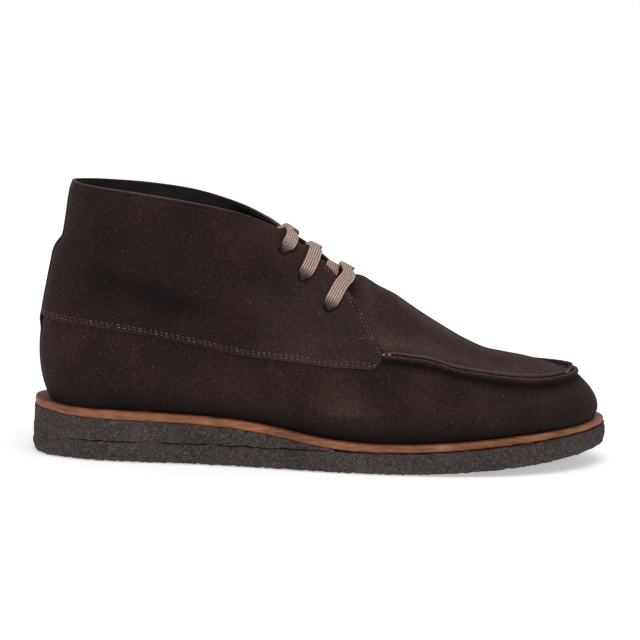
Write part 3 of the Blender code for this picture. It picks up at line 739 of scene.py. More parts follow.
# %% [markdown]
# ## Lining, leather, crepe and cotton
#
# The lining is thin black pigskin, smoother than the suede, with a faint gloss. The midsole is
# vegetable-tanned leather, cut through, so its edge shows reddish tan with long pressed fibres.
# Crepe is raw rubber milled into rough sheets: matt, dark, full of pits and crumbs of other
# tones, about a millimetre wide. The lace is woven flat from cotton, with ribs along it and a
# fine twill across. Each pattern takes its scale from the size of the real one.


# %% Lining and midsole leather
GRAIN, GRAIN_TONE = 0.0012, 0.012  # metres across a pore's field and across a patch of tone
FIBRE_LONG, FIBRE_HIGH, TAN_PATCH = 0.010, 0.0008, 0.014


def lining_leather():
    """Thin black lining leather: close pores and a slightly uneven tone."""
    made, tree, shader = new_material(
        "black_lining_leather", Roughness=0.62, Specular_IOR_Level=0.3
    )
    where = add_node(tree, "ShaderNodeTexCoord").outputs["Object"]
    grain = add_node(tree, "ShaderNodeTexVoronoi", {"Vector": where, "Scale": 1 / GRAIN})
    tone = add_node(
        tree, "ShaderNodeTexNoise", {"Vector": where, "Scale": 1 / GRAIN_TONE, "Detail": 3.0}
    )
    body = ramp(tree, tone.outputs["Fac"], ((0.35, "#0f0d0e"), (0.65, "#1b1718")))
    finish_shader(tree, shader, body, grain.outputs["Distance"], 0.25, 0.0002)
    return made


def tan_leather():
    """The cut edge of tan sole leather: long pressed fibres and patches."""
    made, tree, shader = new_material("tan_sole_leather", Roughness=0.6, Specular_IOR_Level=0.28)
    where = add_node(tree, "ShaderNodeTexCoord").outputs["Object"]
    # Fibres pressed along the board: twelve times longer than they are high.
    stretch = (1 / FIBRE_LONG, 1 / FIBRE_LONG, 1 / FIBRE_HIGH)
    long_way = add_node(tree, "ShaderNodeMapping", {"Vector": where, "Scale": stretch})
    fibres = add_node(
        tree,
        "ShaderNodeTexNoise",
        {"Vector": long_way.outputs["Vector"], "Scale": 1.0, "Detail": 4.0},
    )
    patches = add_node(
        tree,
        "ShaderNodeTexNoise",
        {"Vector": where, "Scale": 1 / TAN_PATCH, "Detail": 5.0, "Roughness": 0.65},
    )
    both = add_node(
        tree,
        "ShaderNodeMix",
        {"Factor": 0.5, "A": fibres.outputs["Fac"], "B": patches.outputs["Fac"]},
        data_type="FLOAT",
    )
    body = ramp(
        tree,
        both.outputs["Result"],
        ((0.36, "#573221"), (0.46, "#7d4b34"), (0.54, "#8f583d"), (0.64, "#a36e4d")),
    )
    finish_shader(tree, shader, body, fibres.outputs["Fac"], 0.4, 0.0003)
    return made


# %% Crepe rubber
CREPE_CLOUD, GRIT, CRUMB = 0.020, 0.0008, 0.0011  # metres across each
GRIT_SHARE, CRUMB_SHARE = 0.76, 0.3
CREPE_TONES = (
    (0.32, "#16110f"),
    (0.43, "#302927"),
    (0.51, "#413937"),
    (0.59, "#554b48"),
    (0.71, "#8c817b"),
)


def crepe_rubber():
    """Dark crepe rubber: matt and gritty, with crumbs of other tones."""
    made, tree, shader = new_material("dark_crepe_rubber", Roughness=0.9, Specular_IOR_Level=0.25)
    where = add_node(tree, "ShaderNodeTexCoord").outputs["Object"]
    clouds = add_node(
        tree,
        "ShaderNodeTexNoise",
        {"Vector": where, "Scale": 1 / CREPE_CLOUD, "Detail": 3.0, "Roughness": 0.5},
    )
    grit = add_node(
        tree,
        "ShaderNodeTexNoise",
        {"Vector": where, "Scale": 1 / GRIT, "Detail": 3.0, "Roughness": 0.7},
    )
    both = add_node(
        tree,
        "ShaderNodeMix",
        {"Factor": GRIT_SHARE, "A": clouds.outputs["Fac"], "B": grit.outputs["Fac"]},
        data_type="FLOAT",
    )
    body = ramp(tree, both.outputs["Result"], CREPE_TONES)
    crumbs = add_node(
        tree, "ShaderNodeTexVoronoi", {"Vector": where, "Scale": 1 / CRUMB, "Randomness": 1.0}
    )
    tints = ramp(
        tree,
        crumbs.outputs["Color"],
        ((0.3, "#292a24"), (0.5, "#3d3635"), (0.62, "#523c36"), (0.75, "#67605c")),
    )
    mottled = add_node(
        tree, "ShaderNodeMix", {"Factor": CRUMB_SHARE, "A": body, "B": tints}, data_type="RGBA"
    )
    finish_shader(tree, shader, mottled.outputs["Result"], grit.outputs["Fac"], 0.8, 0.0008)
    return made


# %% Cotton lace and thread
LACE_WIDTH, RIBS = 7.4, 6
WAVE_TURN = 20.0  # a wave texture of scale 1 turns this many radians in one unit
YARN_WIDE, YARN_LONG, YARN_TURN = 0.0007, 0.0011, 0.7  # metres, and the twill's slant in radians
WEAVE_SHARE = 0.66


def cotton_lace():
    """A flat woven cotton lace: ribs along it, a slanted weave, and soil with painted shade at the
    holes.
    """
    made, tree, shader = new_material(
        "taupe_cotton_lace",
        Roughness=0.9,
        Specular_IOR_Level=0.2,
        Sheen_Weight=0.2,
        Sheen_Roughness=0.5,
        Sheen_Tint=colour("#e8d6cc"),
    )
    # The lace's own map runs in metres: u across it, v along it.
    where = add_node(tree, "ShaderNodeUVMap", uv_map="lace").outputs["UV"]
    rib_scale = 2 * math.pi / WAVE_TURN * RIBS / (LACE_WIDTH * MM)
    ribs = add_node(
        tree,
        "ShaderNodeTexWave",
        {"Vector": where, "Scale": rib_scale, "Distortion": 0.6, "Detail Scale": 3.0},
        bands_direction="X",
    )
    twill = {"Scale": (1 / YARN_WIDE, 1 / YARN_LONG, 1.0), "Rotation": (0.0, 0.0, YARN_TURN)}
    slanted = add_node(tree, "ShaderNodeMapping", {"Vector": where, **twill})
    weave = add_node(
        tree,
        "ShaderNodeTexNoise",
        {"Vector": slanted.outputs["Vector"], "Scale": 1.0, "Detail": 2.0, "Roughness": 0.7},
    )
    both = add_node(
        tree,
        "ShaderNodeMix",
        {"Factor": WEAVE_SHARE, "A": ribs.outputs["Fac"], "B": weave.outputs["Fac"]},
        data_type="FLOAT",
    )
    body = ramp(
        tree,
        both.outputs["Result"],
        ((0.26, "#5d4037"), (0.42, "#8b6e64"), (0.56, "#ad9388"), (0.7, "#d2beb3")),
    )
    # Near the holes the cotton is darker: dye rubbed from the suede, and painted shade where it
    # dives in.
    soil_and_shade = add_node(tree, "ShaderNodeAttribute", attribute_name="soil_and_shade").outputs["Fac"]
    soiled_and_shaded = add_node(
        tree, "ShaderNodeMix", {"Factor": soil_and_shade, "A": body, "B": colour("#17100e")}, data_type="RGBA"
    )
    finish_shader(tree, shader, soiled_and_shaded.outputs["Result"], both.outputs["Result"], 0.7, 0.0005)
    return made


# %% Thread, and all the finishes
THREAD_TWIST = 0.0032  # metres along which a thread's tone changes


def thread(name, code, pale):
    """Waxed sewing thread: a tight twist, with a slight gloss where it turns over."""
    made, tree, shader = new_material(name, Roughness=0.6, Specular_IOR_Level=0.35)
    where = add_node(tree, "ShaderNodeTexCoord").outputs["Object"]
    tone = add_node(
        tree, "ShaderNodeTexNoise", {"Vector": where, "Scale": 1 / THREAD_TWIST, "Detail": 2.0}
    )
    body = ramp(tree, tone.outputs["Fac"], ((0.46, code), (0.66, pale)))
    tree.links.new(body, shader.inputs["Base Color"])
    return made


lining = lining_leather()
tan = tan_leather()
crepe = crepe_rubber()
cotton = cotton_lace()
brown_thread = thread("brown_waxed_thread", "#463733", "#76675f")
dark_thread = thread("dark_waxed_thread", "#241a18", "#463833")
pale_thread = thread("pale_waxed_thread", "#8d7a70", "#bfaea3")
print("materials:", len(bpy.data.materials))

# %% [markdown]
# ## The moccasin seam
#
# The lower wall and the plug meet in a raised seam: both edges are turned up, pressed together and
# sewn through by hand. Each edge stands about 2.5 mm proud as a rounded roll, a dark slit stays
# between the two, and the stitches pull small puckers into the leather beside them. The lower
# roll is the broader one and fills out towards the toe. A hand-sewn seam is never a clean line,
# so it wanders a little.

# %% The seam's shape
# Each rolled edge: its width and height beside the facing, then at the toe.
ROLL_WALL = ((2.5, 2.1), (3.2, 2.3))
ROLL_PLUG = ((1.5, 2.6), (1.7, 3.0))
ROLL_CROWN = 0.42  # a smaller one makes a squarer roll
SLIT, SLIT_DEPTH = 0.38, 1.0  # from the seam to each roll, and how deep the slit goes
# The leather is pressed in at the foot of a roll: depth, place beyond the roll, softness.
HOLLOW_DEPTH, HOLLOW_PLACE, HOLLOW_SOFT = 0.35, 0.5, 0.8
# Painted highlight on a roll, and painted shade in the slit and at its foot: place as a share of
# its width, softness, strength.
ROLL_HIGHLIGHT, ROLL_SHADE = (0.25, 0.3, 0.6), (1.1, 0.28, 0.9)
PUCKER_PITCH = 4.5
PUCKER_PLACE, PUCKER_SOFT = 4.2, 2.0
STATION_LONG = 21.0  # about the length of seam between two stations
# Places over a roll, as shares of its width, and beyond it, in millimetres.
OVER_ROLL = np.array([0.0, 0.02, 0.07, 0.16, 0.3, 0.5, 0.7, 0.84, 0.93, 0.98, 1.0])
BEYOND_ROLL = np.array([0.15, 0.4, 0.8, 1.4, 2.2, 3.2])
# The wobble of the sewn line: station, height in millimetres.
SEAM_WOBBLE = (
    (7.0, 0.0),
    (7.5, 0.3),
    (8.0, 0.9),
    (8.3, 0.8),
    (8.7, 0.2),
    (9.0, 0.4),
    (10.0, 1.3),
    (11.0, 1.1),
    (12.0, 0.6),
    (13.0, 0.0),
    (14.0, 0.0),
)
seam_wobble = table_curve(*zip(*SEAM_WOBBLE))
WANDER_WAVES = ((0.22, 2.3, 4.0), (0.08, 9.0, 7.0))  # height, waves to a station, seed


# %% Rolls, slit and puckers
def roll_size(sizes, station):
    """Width and height of a rolled edge at a station."""
    near, far = (np.array(size) for size in sizes)
    return near + (far - near) * float(ease((station - FACING - 1) / 3.0))


def roll_rows(size):
    """Distances from the seam at which a rolled edge needs a row of points."""
    return np.concatenate(
        [[0.0, 0.5 * SLIT, 0.92 * SLIT], SLIT + size[0] * OVER_ROLL, SLIT + size[0] + BEYOND_ROLL]
    )


def roll(distance, size):
    """Height of a rolled edge at a distance from the seam, with the slit and the pressed hollow."""
    width, height = size
    across = np.clip(2 * (distance - SLIT) / width - 1, -1.0, 1.0)
    slit = SLIT_DEPTH * np.clip(1 - distance / SLIT, 0.0, 1.0) ** 0.7
    hollow = HOLLOW_DEPTH * bell(distance, SLIT + width + HOLLOW_PLACE, HOLLOW_SOFT)
    return height * (1 - across**2) ** ROLL_CROWN - slit - hollow


def roll_highlight_and_shade(distance, size):
    """Painted highlight along the top of a roll, painted shade in the slit and at the foot of the
    roll.
    """
    place = (distance - SLIT) / size[0]
    top = bell(place, *ROLL_HIGHLIGHT[:2]) * (distance > SLIT)
    dark = np.where(distance < SLIT, 1.0, bell(place, *ROLL_SHADE[:2]))
    return ROLL_HIGHLIGHT[2] * top - ROLL_SHADE[2] * dark


def seam_wander(station):
    """How far the hand-sewn seam leaves its own line, in millimetres of height."""
    small = sum(high * ripple(station * pace, seed) for high, pace, seed in WANDER_WAVES)
    return float(ease((station - FACING) / 0.5)) * small + seam_wobble(station)


def seam_direction(side, station):
    """Where the pressed edges point: midway between the wall's and the plug's own outward."""
    along = wall_curve(side, station + 0.04)[2] - wall_curve(side, station - 0.04)[2]
    if side == INNER:
        along = -along
    wall, over = wall_curve(side, station), plug_curve(side, station)
    parts = [np.cross(along, wall[2] - wall[1]), np.cross(along, over[1] - over[0])]
    total = sum(p / np.linalg.norm(p) for p in parts)
    return total / np.linalg.norm(total)


def seam_strength(station):
    """The rolls rise from under the quarter's edge within a few millimetres."""
    return float(ease((station - FACING + 0.08) / 0.2))


def pucker(station, distance, depth):
    """Small pulls of the stitches into the leather beside the seam."""
    wave = math.cos(2 * math.pi * station * STATION_LONG / PUCKER_PITCH)
    return depth * wave * bell(distance, PUCKER_PLACE, PUCKER_SOFT)


# %% [markdown]
# ## The lower wall
#
# One long panel of suede runs round the whole boot from the midsole up to the seam. Behind the
# facing it slips under the quarters. It is drawn as a grid, with its columns evenly spaced round
# the foot and its rows crowded at the seam, where the rolled edge needs them. Shade is painted
# into its nap low down above the midsole and in a band under the rolled edge.

# %% Build the lower wall
TUCK = np.array([0.0, 1.2, 2.4, 5.0])  # rows of it that go on under the quarters
WALL_ROWS, WALL_PACE = 36, 1.2
WALL_FOLLOWS = 7.5  # millimetres below the seam over which the wall follows its wander
WALL_PUCKER = 0.18
# Wear and shading: painted shade up from the midsole, painted shadow under the roll, paler towards
# the toe, and pale where the ball of the foot has rubbed the outer side. Strength first, then place
# and softness.
FOOT_SHADE, FOOT_HIGH = 0.95, 17.0
SHADOW_DARK, SHADOW_PLACE, SHADOW_SOFT = 0.8, 1.9, 2.0
TOE_PALE, TOE_FROM, TOE_SOFT = 0.04, 8.5, 2.0
RUBBED_PALE, RUBBED_X, RUBBED_LONG, RUBBED_Z, RUBBED_HIGH = 0.2, 163.0, 13.0, 31.0, 9.0


def wall_column(side, station):
    """One column of the wall, from its foot up: points, pull of the seam, height, and wear with
    painted shade and highlight.
    """
    size = roll_size(ROLL_WALL, station)
    line = bend(*wall_curve(side, station), FINE[::-1])
    points, below, above_foot = rows_along(line, roll_rows(size), WALL_ROWS)
    pull = ease(1 - below / WALL_FOLLOWS)
    points[:, 2] += seam_wander(station) * pull
    strength = seam_strength(station)
    height = roll(below, size) * (1 + 0.08 * ripple(station * 1.7, 9.0 + side))
    height = strength * (height + pucker(station, below, WALL_PUCKER))
    # Painted shade low down above the midsole, and a painted shadow under the roll.
    wear_and_shading = strength * roll_highlight_and_shade(below, size) - FOOT_SHADE * ease(1 - above_foot / FOOT_HIGH)
    wear_and_shading -= SHADOW_DARK * strength * bell(below, size[0] + SHADOW_PLACE, SHADOW_SOFT)
    wear_and_shading += TOE_PALE * ease((station - TOE_FROM) / TOE_SOFT)
    if side == OUTER:
        rubbed = bell(points[:, 0], RUBBED_X, RUBBED_LONG)
        wear_and_shading += RUBBED_PALE * rubbed * bell(points[:, 2], RUBBED_Z, RUBBED_HIGH)
    if station < FACING:
        over = bend(*quarter_curve(side, station), FINE)
        tucked = rows_along(over, TUCK, 1)[0][3:0:-1]
    else:
        tucked = np.repeat(points[:1], 3, axis=0)
    points = np.vstack([tucked, points])[::-1]
    pull, height, wear_and_shading = (
        np.concatenate([np.full(3, row[0]), row])[::-1] for row in (pull, height, wear_and_shading)
    )
    return points, pull, height, wear_and_shading


around = even_stations(foot_ring, 0.0, 2.0 * TOE, WALL_PACE)[:-1]
wall_places = [(OUTER, s) if s <= TOE else (INNER, 2 * TOE - s) for s in (*around, 0.0)]
wall_points, wall_pull, wall_height, wall_wear_and_shading = stacked(wall_column(*p) for p in wall_places)
wall_points = draw_in(wall_points)
wall_points[-1] = wall_points[0]
wall_out = outward(wall_points)
for k, (side, station) in enumerate(wall_places):
    if station > FACING - 0.1:
        pull = wall_pull[k][:, None]
        wall_out[k] = wall_out[k] * (1 - pull) + seam_direction(side, station) * pull
        wall_out[k] /= np.linalg.norm(wall_out[k], axis=1)[:, None]
vamp = panel("vamp", wall_points, wall_out, wall_height, wall_height - SUEDE, wear_and_shading=wall_wear_and_shading)
settle(vamp, [vamp_suede, vamp_suede, raw_edge], "upper")

# %% [markdown]
# ## The plug
#
# The plug is the apron on top of the foot, inside the moccasin seam. Its grid runs from the outer
# seam over the crest to the inner seam. At the back it passes under both facings, and between them
# its edge meets the tongue.

# %% Build the plug
PLUG_ROWS, PLUG_PACE = 34, 1.2
PLUG_TUCK = 0.65  # stations that it runs on under the quarters
PLUG_FOLLOWS = 6.0  # millimetres above the seam over which the plug follows its wander
PLUG_PUCKER = 0.2
CROWN_HIGHLIGHT, CROWN_PLACE, CROWN_SOFT = 0.2, 8.0, 7.0  # a painted highlight on the plug inside the seam
plug_stations = np.concatenate(
    [
        np.linspace(FACING - PLUG_TUCK, FACING - 0.03, 8),
        np.linspace(FACING, FACING + THROAT_COLUMNS, 16),
        even_stations(seam_ring, FACING + 0.5, TOE, PLUG_PACE),
    ]
)


def plug_section(side, station):
    """Start, pull and end of the plug's section, also where it runs on under the quarter."""
    if station >= FACING:
        return plug_curve(side, station)
    start, pull, end = quarter_curve(side, station)
    return start, start + THROAT * (pull - start), bend(start, pull, end, THROAT)


def plug_half(side, station):
    """One half column of the plug, from the seam up: points, pull, height, wear with painted
    highlight and shade, seam's way.
    """
    size = roll_size(ROLL_PLUG, station)
    line = bend(*plug_section(side, station), FINE)
    points, above, _ = rows_along(line, roll_rows(size), PLUG_ROWS)
    pull = ease(1 - above / PLUG_FOLLOWS) * (station >= FACING)
    points[:, 2] += seam_wander(station) * pull
    strength = seam_strength(station)
    height = strength * (roll(above, size) + pucker(station, above, PLUG_PUCKER))
    # A painted highlight on the plug beside the seam, and the roll's painted highlight and shade.
    wear_and_shading = roll_highlight_and_shade(above, size) + CROWN_HIGHLIGHT * bell(above, CROWN_PLACE, CROWN_SOFT)
    wear_and_shading = strength * wear_and_shading
    way = seam_direction(side, station) if station >= FACING else np.zeros(3)
    return points, pull, height, wear_and_shading, np.tile(way, (len(points), 1))


def whole_column(station):
    """Both halves of the plug's column in one line."""
    halves = zip(plug_half(OUTER, station), plug_half(INNER, station))
    return [np.concatenate([outer, inner[::-1]]) for outer, inner in halves]


plug_points, plug_pull, plug_height, plug_wear_and_shading, plug_way = stacked(
    whole_column(s) for s in plug_stations
)
plug_points = draw_in(plug_points)
middle = plug_points.shape[1] // 2 - 1
plug_out = outward(plug_points, skip=(middle,))
plug_out = plug_out * (1 - plug_pull[..., None]) + plug_way * plug_pull[..., None]
plug_out /= np.linalg.norm(plug_out, axis=2)[..., None]
plug = panel(
    "plug", plug_points, plug_out, plug_height, plug_height - SUEDE, (middle,), plug_wear_and_shading
)
settle(plug, [plug_suede, plug_suede, raw_edge], "upper")

# %% [markdown]
# ## The quarters
#
# Two panels wrap the ankle and lap over the lower wall, one each side, joined at the heel. At the
# front their lower corner reaches further down over the wall, with a small round. Their cut edge
# stands 1.5 mm proud all round, is slightly rounded by the knife, and shows pale where the nap is
# cut through, most of all along the collar. The lacing holes are punched through the finished
# leather, so here they are cut out of the panel with a boolean, just as the punch does it.

# %% Build the quarters
EDGE_ROWS = np.array([0.0, 0.08, 0.22, 0.45, 0.8, 1.4, 2.2])
EDGE_ROUND = 0.7
QUARTER_ROWS, QUARTER_PACE = 60, 1.3
QUARTER_BACK = 0.1  # the panel's back stands this much over the lower wall
FRONT_PACE = 22.0  # millimetres to a station near the facing
LAP, LAP_ROWS = 2.6, 12  # how far they lap over the lower wall, behind their front corners
LAP_FADES, LAP_FADE_RUN = 4.4, 1.8  # from this station the lap gives way to the corner's own
# Wear and shading: pale where the nap is cut, below, in front and at the collar (strength,
# softness);
# paler in front of the ankle (strength, x, softness); and painted shade in the folds.
EDGE_PALE, FRONT_PALE, COLLAR_PALE = (0.2, 0.6), (0.3, 0.6), (1.0, 0.5)
ANKLE_PALE, ANKLE_X, ANKLE_SOFT = 0.12, 95.0, 40.0
FOLD_SHADE = 0.12


def quarter_line(side, station):
    """Fine points up the quarter, from its lower edge over the seam to the collar."""
    wall, over = wall_curve(side, station), quarter_curve(side, station)
    fade = float(ease((station - LAP_FADES) / LAP_FADE_RUN))
    lap = (corner_drop(station) + LAP * (1 - fade)) / (2 * np.linalg.norm(wall[2] - wall[1]))
    below = bend(*wall, 1 - lap * np.linspace(1.0, 0.0, LAP_ROWS + 1)[:-1])
    return np.vstack([below, bend(*over, FINE)])


def rounded(distance):
    """How far a cut edge falls away at a distance from it."""
    left = np.clip(1 - distance / EDGE_ROUND, 0.0, 1.0)
    return EDGE_ROUND * (1 - np.sqrt(1 - left**2))


def round_heel(stations):
    """Places from the inner facing back round the heel and on to the outer facing."""
    return [(INNER, s) for s in stations[:0:-1]] + [(OUTER, s) for s in stations]


front_stations = FACING - EDGE_ROWS / FRONT_PACE
side_stations = even_stations(seam_ring, 0.0, front_stations[-1] - 0.05, QUARTER_PACE)
quarter_places = round_heel(np.concatenate([side_stations, front_stations[::-1]]))
quarter_points, from_edge, from_collar = stacked(
    rows_along(quarter_line(*p), EDGE_ROWS, QUARTER_ROWS, EDGE_ROWS) for p in quarter_places
)
from_front = np.minimum(
    np.linalg.norm(quarter_points - quarter_points[:1], axis=2),
    np.linalg.norm(quarter_points - quarter_points[-1:], axis=2),
)
quarter_points = draw_in(quarter_points)
quarter_out = outward(quarter_points)
fall = rounded(np.minimum(np.minimum(from_edge, from_collar), from_front))
quarter_side = quarter_points[..., 0], quarter_points[..., 2]
quarter_wear_and_shading = (
    EDGE_PALE[0] * bell(from_edge, 0.0, EDGE_PALE[1])
    + FRONT_PALE[0] * bell(from_front, 0.0, FRONT_PALE[1])
    + COLLAR_PALE[0] * bell(from_collar, 0.0, COLLAR_PALE[1])
    + ANKLE_PALE * ease((quarter_side[0] - ANKLE_X) / ANKLE_SOFT)
    # painted shade in the folds and in the ankle's crease
    - FOLD_SHADE * fold_depth(*quarter_side)
    - fold_depth(*quarter_side, CREASE_SHADES)
)
quarters = panel(
    "quarters", quarter_points, quarter_out, OVERLAY - fall, QUARTER_BACK, wear_and_shading=quarter_wear_and_shading
)

# %% Punch the lacing holes
PUNCH_SIDES, PUNCH_LONG = 28, 9.0


def eyelets():
    """Where the six holes lie on the throat surface, outer side first in each row."""
    return [(side * (1 + back), row) for row, back, _, _ in EYELET_ROWS for side in (-1, 1)]


def apply_modifiers(obj):
    """Makes a plain mesh of what the modifiers give, and takes the modifiers off."""
    graph = bpy.context.evaluated_depsgraph_get()
    result = bpy.data.meshes.new_from_object(obj.evaluated_get(graph))
    obj.modifiers.clear()
    obj.data = result


def punch(obj, places, radius):
    """Cuts round holes through the panel at places on the throat surface."""
    cutter = bmesh.new()
    for across, row in places:
        point, normal, _ = throat_frame(across, row)
        turn = normal.to_track_quat("Z", "Y").to_matrix().to_4x4()
        bmesh.ops.create_cone(
            cutter,
            cap_ends=True,
            segments=PUNCH_SIDES,
            radius1=radius,
            radius2=radius,
            depth=PUNCH_LONG,
            matrix=Matrix.Translation(point + Vector(TO_FRAME)) @ turn,
        )
    mesh = mesh_from("punch", cutter)
    mesh.transform(Matrix.Scale(MM, 4))
    tool = new_object("punch", mesh)
    cut = obj.modifiers.new("punch", "BOOLEAN")
    cut.object, cut.solver = tool, "MANIFOLD"
    apply_modifiers(obj)
    bpy.data.objects.remove(tool, do_unlink=True)
    print(f"{obj.name}: {len(obj.data.vertices)} points after punching")


punch(quarters, eyelets(), EYELET_RADIUS)
settle(quarters, [quarter_suede, raw_edge, raw_edge], "upper")

# %% [markdown]
# ## The heel strip
#
# A narrow strip of suede covers the back seam from the midsole to the collar. It is glued down
# on the wall and steps out over the quarters. Its sides and its top end are skived thin, so it
# only shows as a low band with a soft edge and ends just under the collar's rim.

# %% Build the heel strip
STRIP_THICK, STRIP_GLUE = 0.6, 0.05  # the glue keeps its back just off what it covers
STRIP_SIDES = np.array([0.0, 0.25, 0.5, 0.7, 0.86, 0.94, 0.98, 1.0])
STRIP_WALL, STRIP_QUARTER = 29, 50  # rows below and above the seam
STRIP_TOP = 0.985  # share of the quarter's height at which it ends
WALL_SWELL = 0.12  # how far it has lifted from the wall at the seam
STEP_OUT = (0.3, 0.8, 1.3, OVERLAY, OVERLAY)  # its last rows before the seam climb the quarters
TOP_SKIVE = (0.1, 0.3, 0.55)  # its last rows sink below the collar's edge
SIDE_RUN, SIDE_SKIVE = 4.0, 0.75
STRIP_DARK = 0.12


def strip_column(across):
    """A line up the strip at a place across it, from -1 to 1."""
    side = OUTER if across < 0 else INNER
    station = abs(across) * STRIP_STATION
    wall = bend(*wall_curve(side, station), np.linspace(0.0, 1.0, STRIP_WALL + 1)[:-1])
    over = bend(*quarter_curve(side, station), np.linspace(0.0, STRIP_TOP, STRIP_QUARTER))
    return np.vstack([wall, over])


strip_across = np.concatenate([STRIP_SIDES[::-1], -STRIP_SIDES[1:]])
strip_points = draw_in(np.array([strip_column(a) for a in strip_across]))
strip_rise = np.full(STRIP_WALL + STRIP_QUARTER, OVERLAY)
strip_rise[:STRIP_WALL] = np.linspace(0.0, WALL_SWELL, STRIP_WALL)
strip_rise[STRIP_WALL - len(STEP_OUT) : STRIP_WALL] = STEP_OUT
strip_rise[-len(TOP_SKIVE) :] -= TOP_SKIVE
strip_under = strip_rise + STRIP_GLUE
strip_under[: STRIP_WALL - 2] = STRIP_GLUE  # down on the wall up to the quarters' edge
strip_fall = rounded((1 - np.abs(strip_across)) * SIDE_RUN)[:, None] * SIDE_SKIVE
strip_wear = -STRIP_DARK * np.abs(strip_across[:, None]) ** 4 + np.zeros(len(strip_rise))
heel_strip = panel(
    "heel_strip",
    strip_points,
    outward(strip_points),
    strip_rise + STRIP_THICK - strip_fall,
    strip_under,
    wear_and_shading=strip_wear,
)
settle(heel_strip, [strip_suede, strip_suede, raw_edge], "upper")

# %% [markdown]
# ## The lining
#
# Inside, a soft lining follows the whole upper, in one piece for the quarters and one for the toe.
# It ends a millimetre or two below the collar, so the raw edge of the suede shows above it. Under
# the seam it lies below both thicknesses of suede, and in the quarters, clear of the plug, it
# moves out against them.

# %% Build the lining
LINING_WALL, LINING_ROWS, LINING_COLUMNS, TOE_COLUMNS = 13, 26, 60, 70
LINING_DEPTH = SUEDE + 0.15
LINING_TOP = 0.978  # share of the quarter's height at which it ends
# It moves out from this share of a section, later near the facing, over this much of it.
MOVES_OUT, LATER, LATER_FROM, LATER_RUN, MOVE_RUN = 0.05, 0.4, 5.6, 0.8, 0.15


def lining_column(side, station):
    """A line up the inside of the boot, and how deep the lining lies under the surface."""
    wall = bend(*wall_curve(side, station), np.linspace(0.0, 1.0, LINING_WALL + 1)[:-1])
    shares = np.linspace(0.0, LINING_TOP if station < FACING else 1.0, LINING_ROWS)
    over_curve = quarter_curve if station < FACING else plug_curve
    points = np.vstack([wall, bend(*over_curve(side, station), shares)])
    deep = np.full(len(points), LINING_DEPTH)
    if station < FACING:
        start = MOVES_OUT + LATER * ease((station - LATER_FROM) / LATER_RUN)
        deep[LINING_WALL:] -= (LINING_DEPTH - 0.05) * ease((shares - start) / MOVE_RUN)
    return points, deep


lining_places = round_heel(np.linspace(0.0, FACING, LINING_COLUMNS))
lining_points, lining_deep = stacked(lining_column(*place) for place in lining_places)
lining_points = draw_in(lining_points)
quarter_lining = panel(
    "quarter_lining", lining_points, outward(lining_points), -lining_deep, -lining_deep - LINING
)
punch(quarter_lining, eyelets(), EYELET_RADIUS)
settle(quarter_lining, [lining, lining, lining], "upper")

toe_points = []
for station in np.linspace(FACING + 0.01, TOE, TOE_COLUMNS):
    outer_half, inner_half = (lining_column(side, station)[0] for side in (OUTER, INNER))
    toe_points.append(np.vstack([outer_half, inner_half[::-1]]))
toe_points = draw_in(np.array(toe_points))
middle = toe_points.shape[1] // 2 - 1
toe_lining = panel(
    "toe_lining",
    toe_points,
    outward(toe_points, (middle,)),
    -LINING_DEPTH,
    -LINING_DEPTH - LINING,
    (middle,),
)
settle(toe_lining, [lining, lining, lining], "upper")

# %% [markdown]
# ## The tongue
#
# The tongue carries on from the plug, up between the facings and under the lace. It is skived
# thin and glued on the plug for its first three millimetres, so no edge shows there. Its sides
# flare out under the quarters.

# %% Build the tongue
TONGUE_MIDDLE, TONGUE_UNDER, TONGUE_THICK = 3.6, 5.0, 1.8
TONGUE_START, TONGUE_END, TONGUE_DIP = 0.35, 0.97, 0.13
TONGUE_ROWS, TONGUE_COLUMNS = 58, 61
TONGUE_FLARE, FLARE_RUN = 1.3, 0.25
TONGUE_SHADE = 0.35  # painted shade: it is darker deep in the throat
UP_FROM_PLUG = np.array([0.35, 0.0, 0.94])
# Its first rows lie on the plug: share of the plug's section, height over it.
SKIVED_ROWS = ((0.90, -0.4), (0.93, -0.16), (0.96, -0.05), (1.0, 0.05))


def below_lacing(across):
    """How far the tongue's top lies under the throat surface, at a place across it."""
    return TONGUE_MIDDLE + (TONGUE_UNDER - TONGUE_MIDDLE) * float(ease(abs(across) / 0.8))


def tongue_depth(across, row):
    """The same, where it dips from the plug's edge to that depth."""
    return below_lacing(across) * float(ease((row - THROAT) / TONGUE_DIP))


def skived_row(share, height):
    """A row of the tongue that lies on the plug, at a share of each of its sections."""
    line = []
    for across in np.linspace(-1.0, 1.0, TONGUE_COLUMNS):
        side = OUTER if across < 0 else INNER
        station = FACING + THROAT_COLUMNS * (1 - abs(across))
        point = bend(*plug_curve(side, station), share)
        line.append(point + UP_FROM_PLUG * height)
    return line


tongue_grid = [skived_row(*row) for row in SKIVED_ROWS]
for row in np.linspace(TONGUE_START, TONGUE_END, TONGUE_ROWS):
    reach = 1.0 + TONGUE_FLARE * float(ease((row - TONGUE_START) / FLARE_RUN))
    line = []
    for across in np.linspace(-reach, reach, TONGUE_COLUMNS):
        point, normal, _ = throat_frame(across, row)
        line.append(np.array(point - normal * tongue_depth(across, row)))
    tongue_grid.append(line)
tongue_grid = np.array(tongue_grid)
for _ in range(4):  # ease the step from the plug to the throat
    tongue_grid[4:16] = (tongue_grid[3:15] + 2 * tongue_grid[4:16] + tongue_grid[5:17]) / 4
tongue_points = tongue_grid[::-1]
tongue_painted_shade = -TONGUE_SHADE * np.linspace(1.0, 0.0, len(tongue_points))[:, None] ** 2
tongue = panel(
    "suede_tongue", tongue_points, outward(tongue_points), 0.0, -TONGUE_THICK, wear_and_shading=tongue_painted_shade
)
settle(tongue, [plug_suede, lining, raw_edge], "tongue")

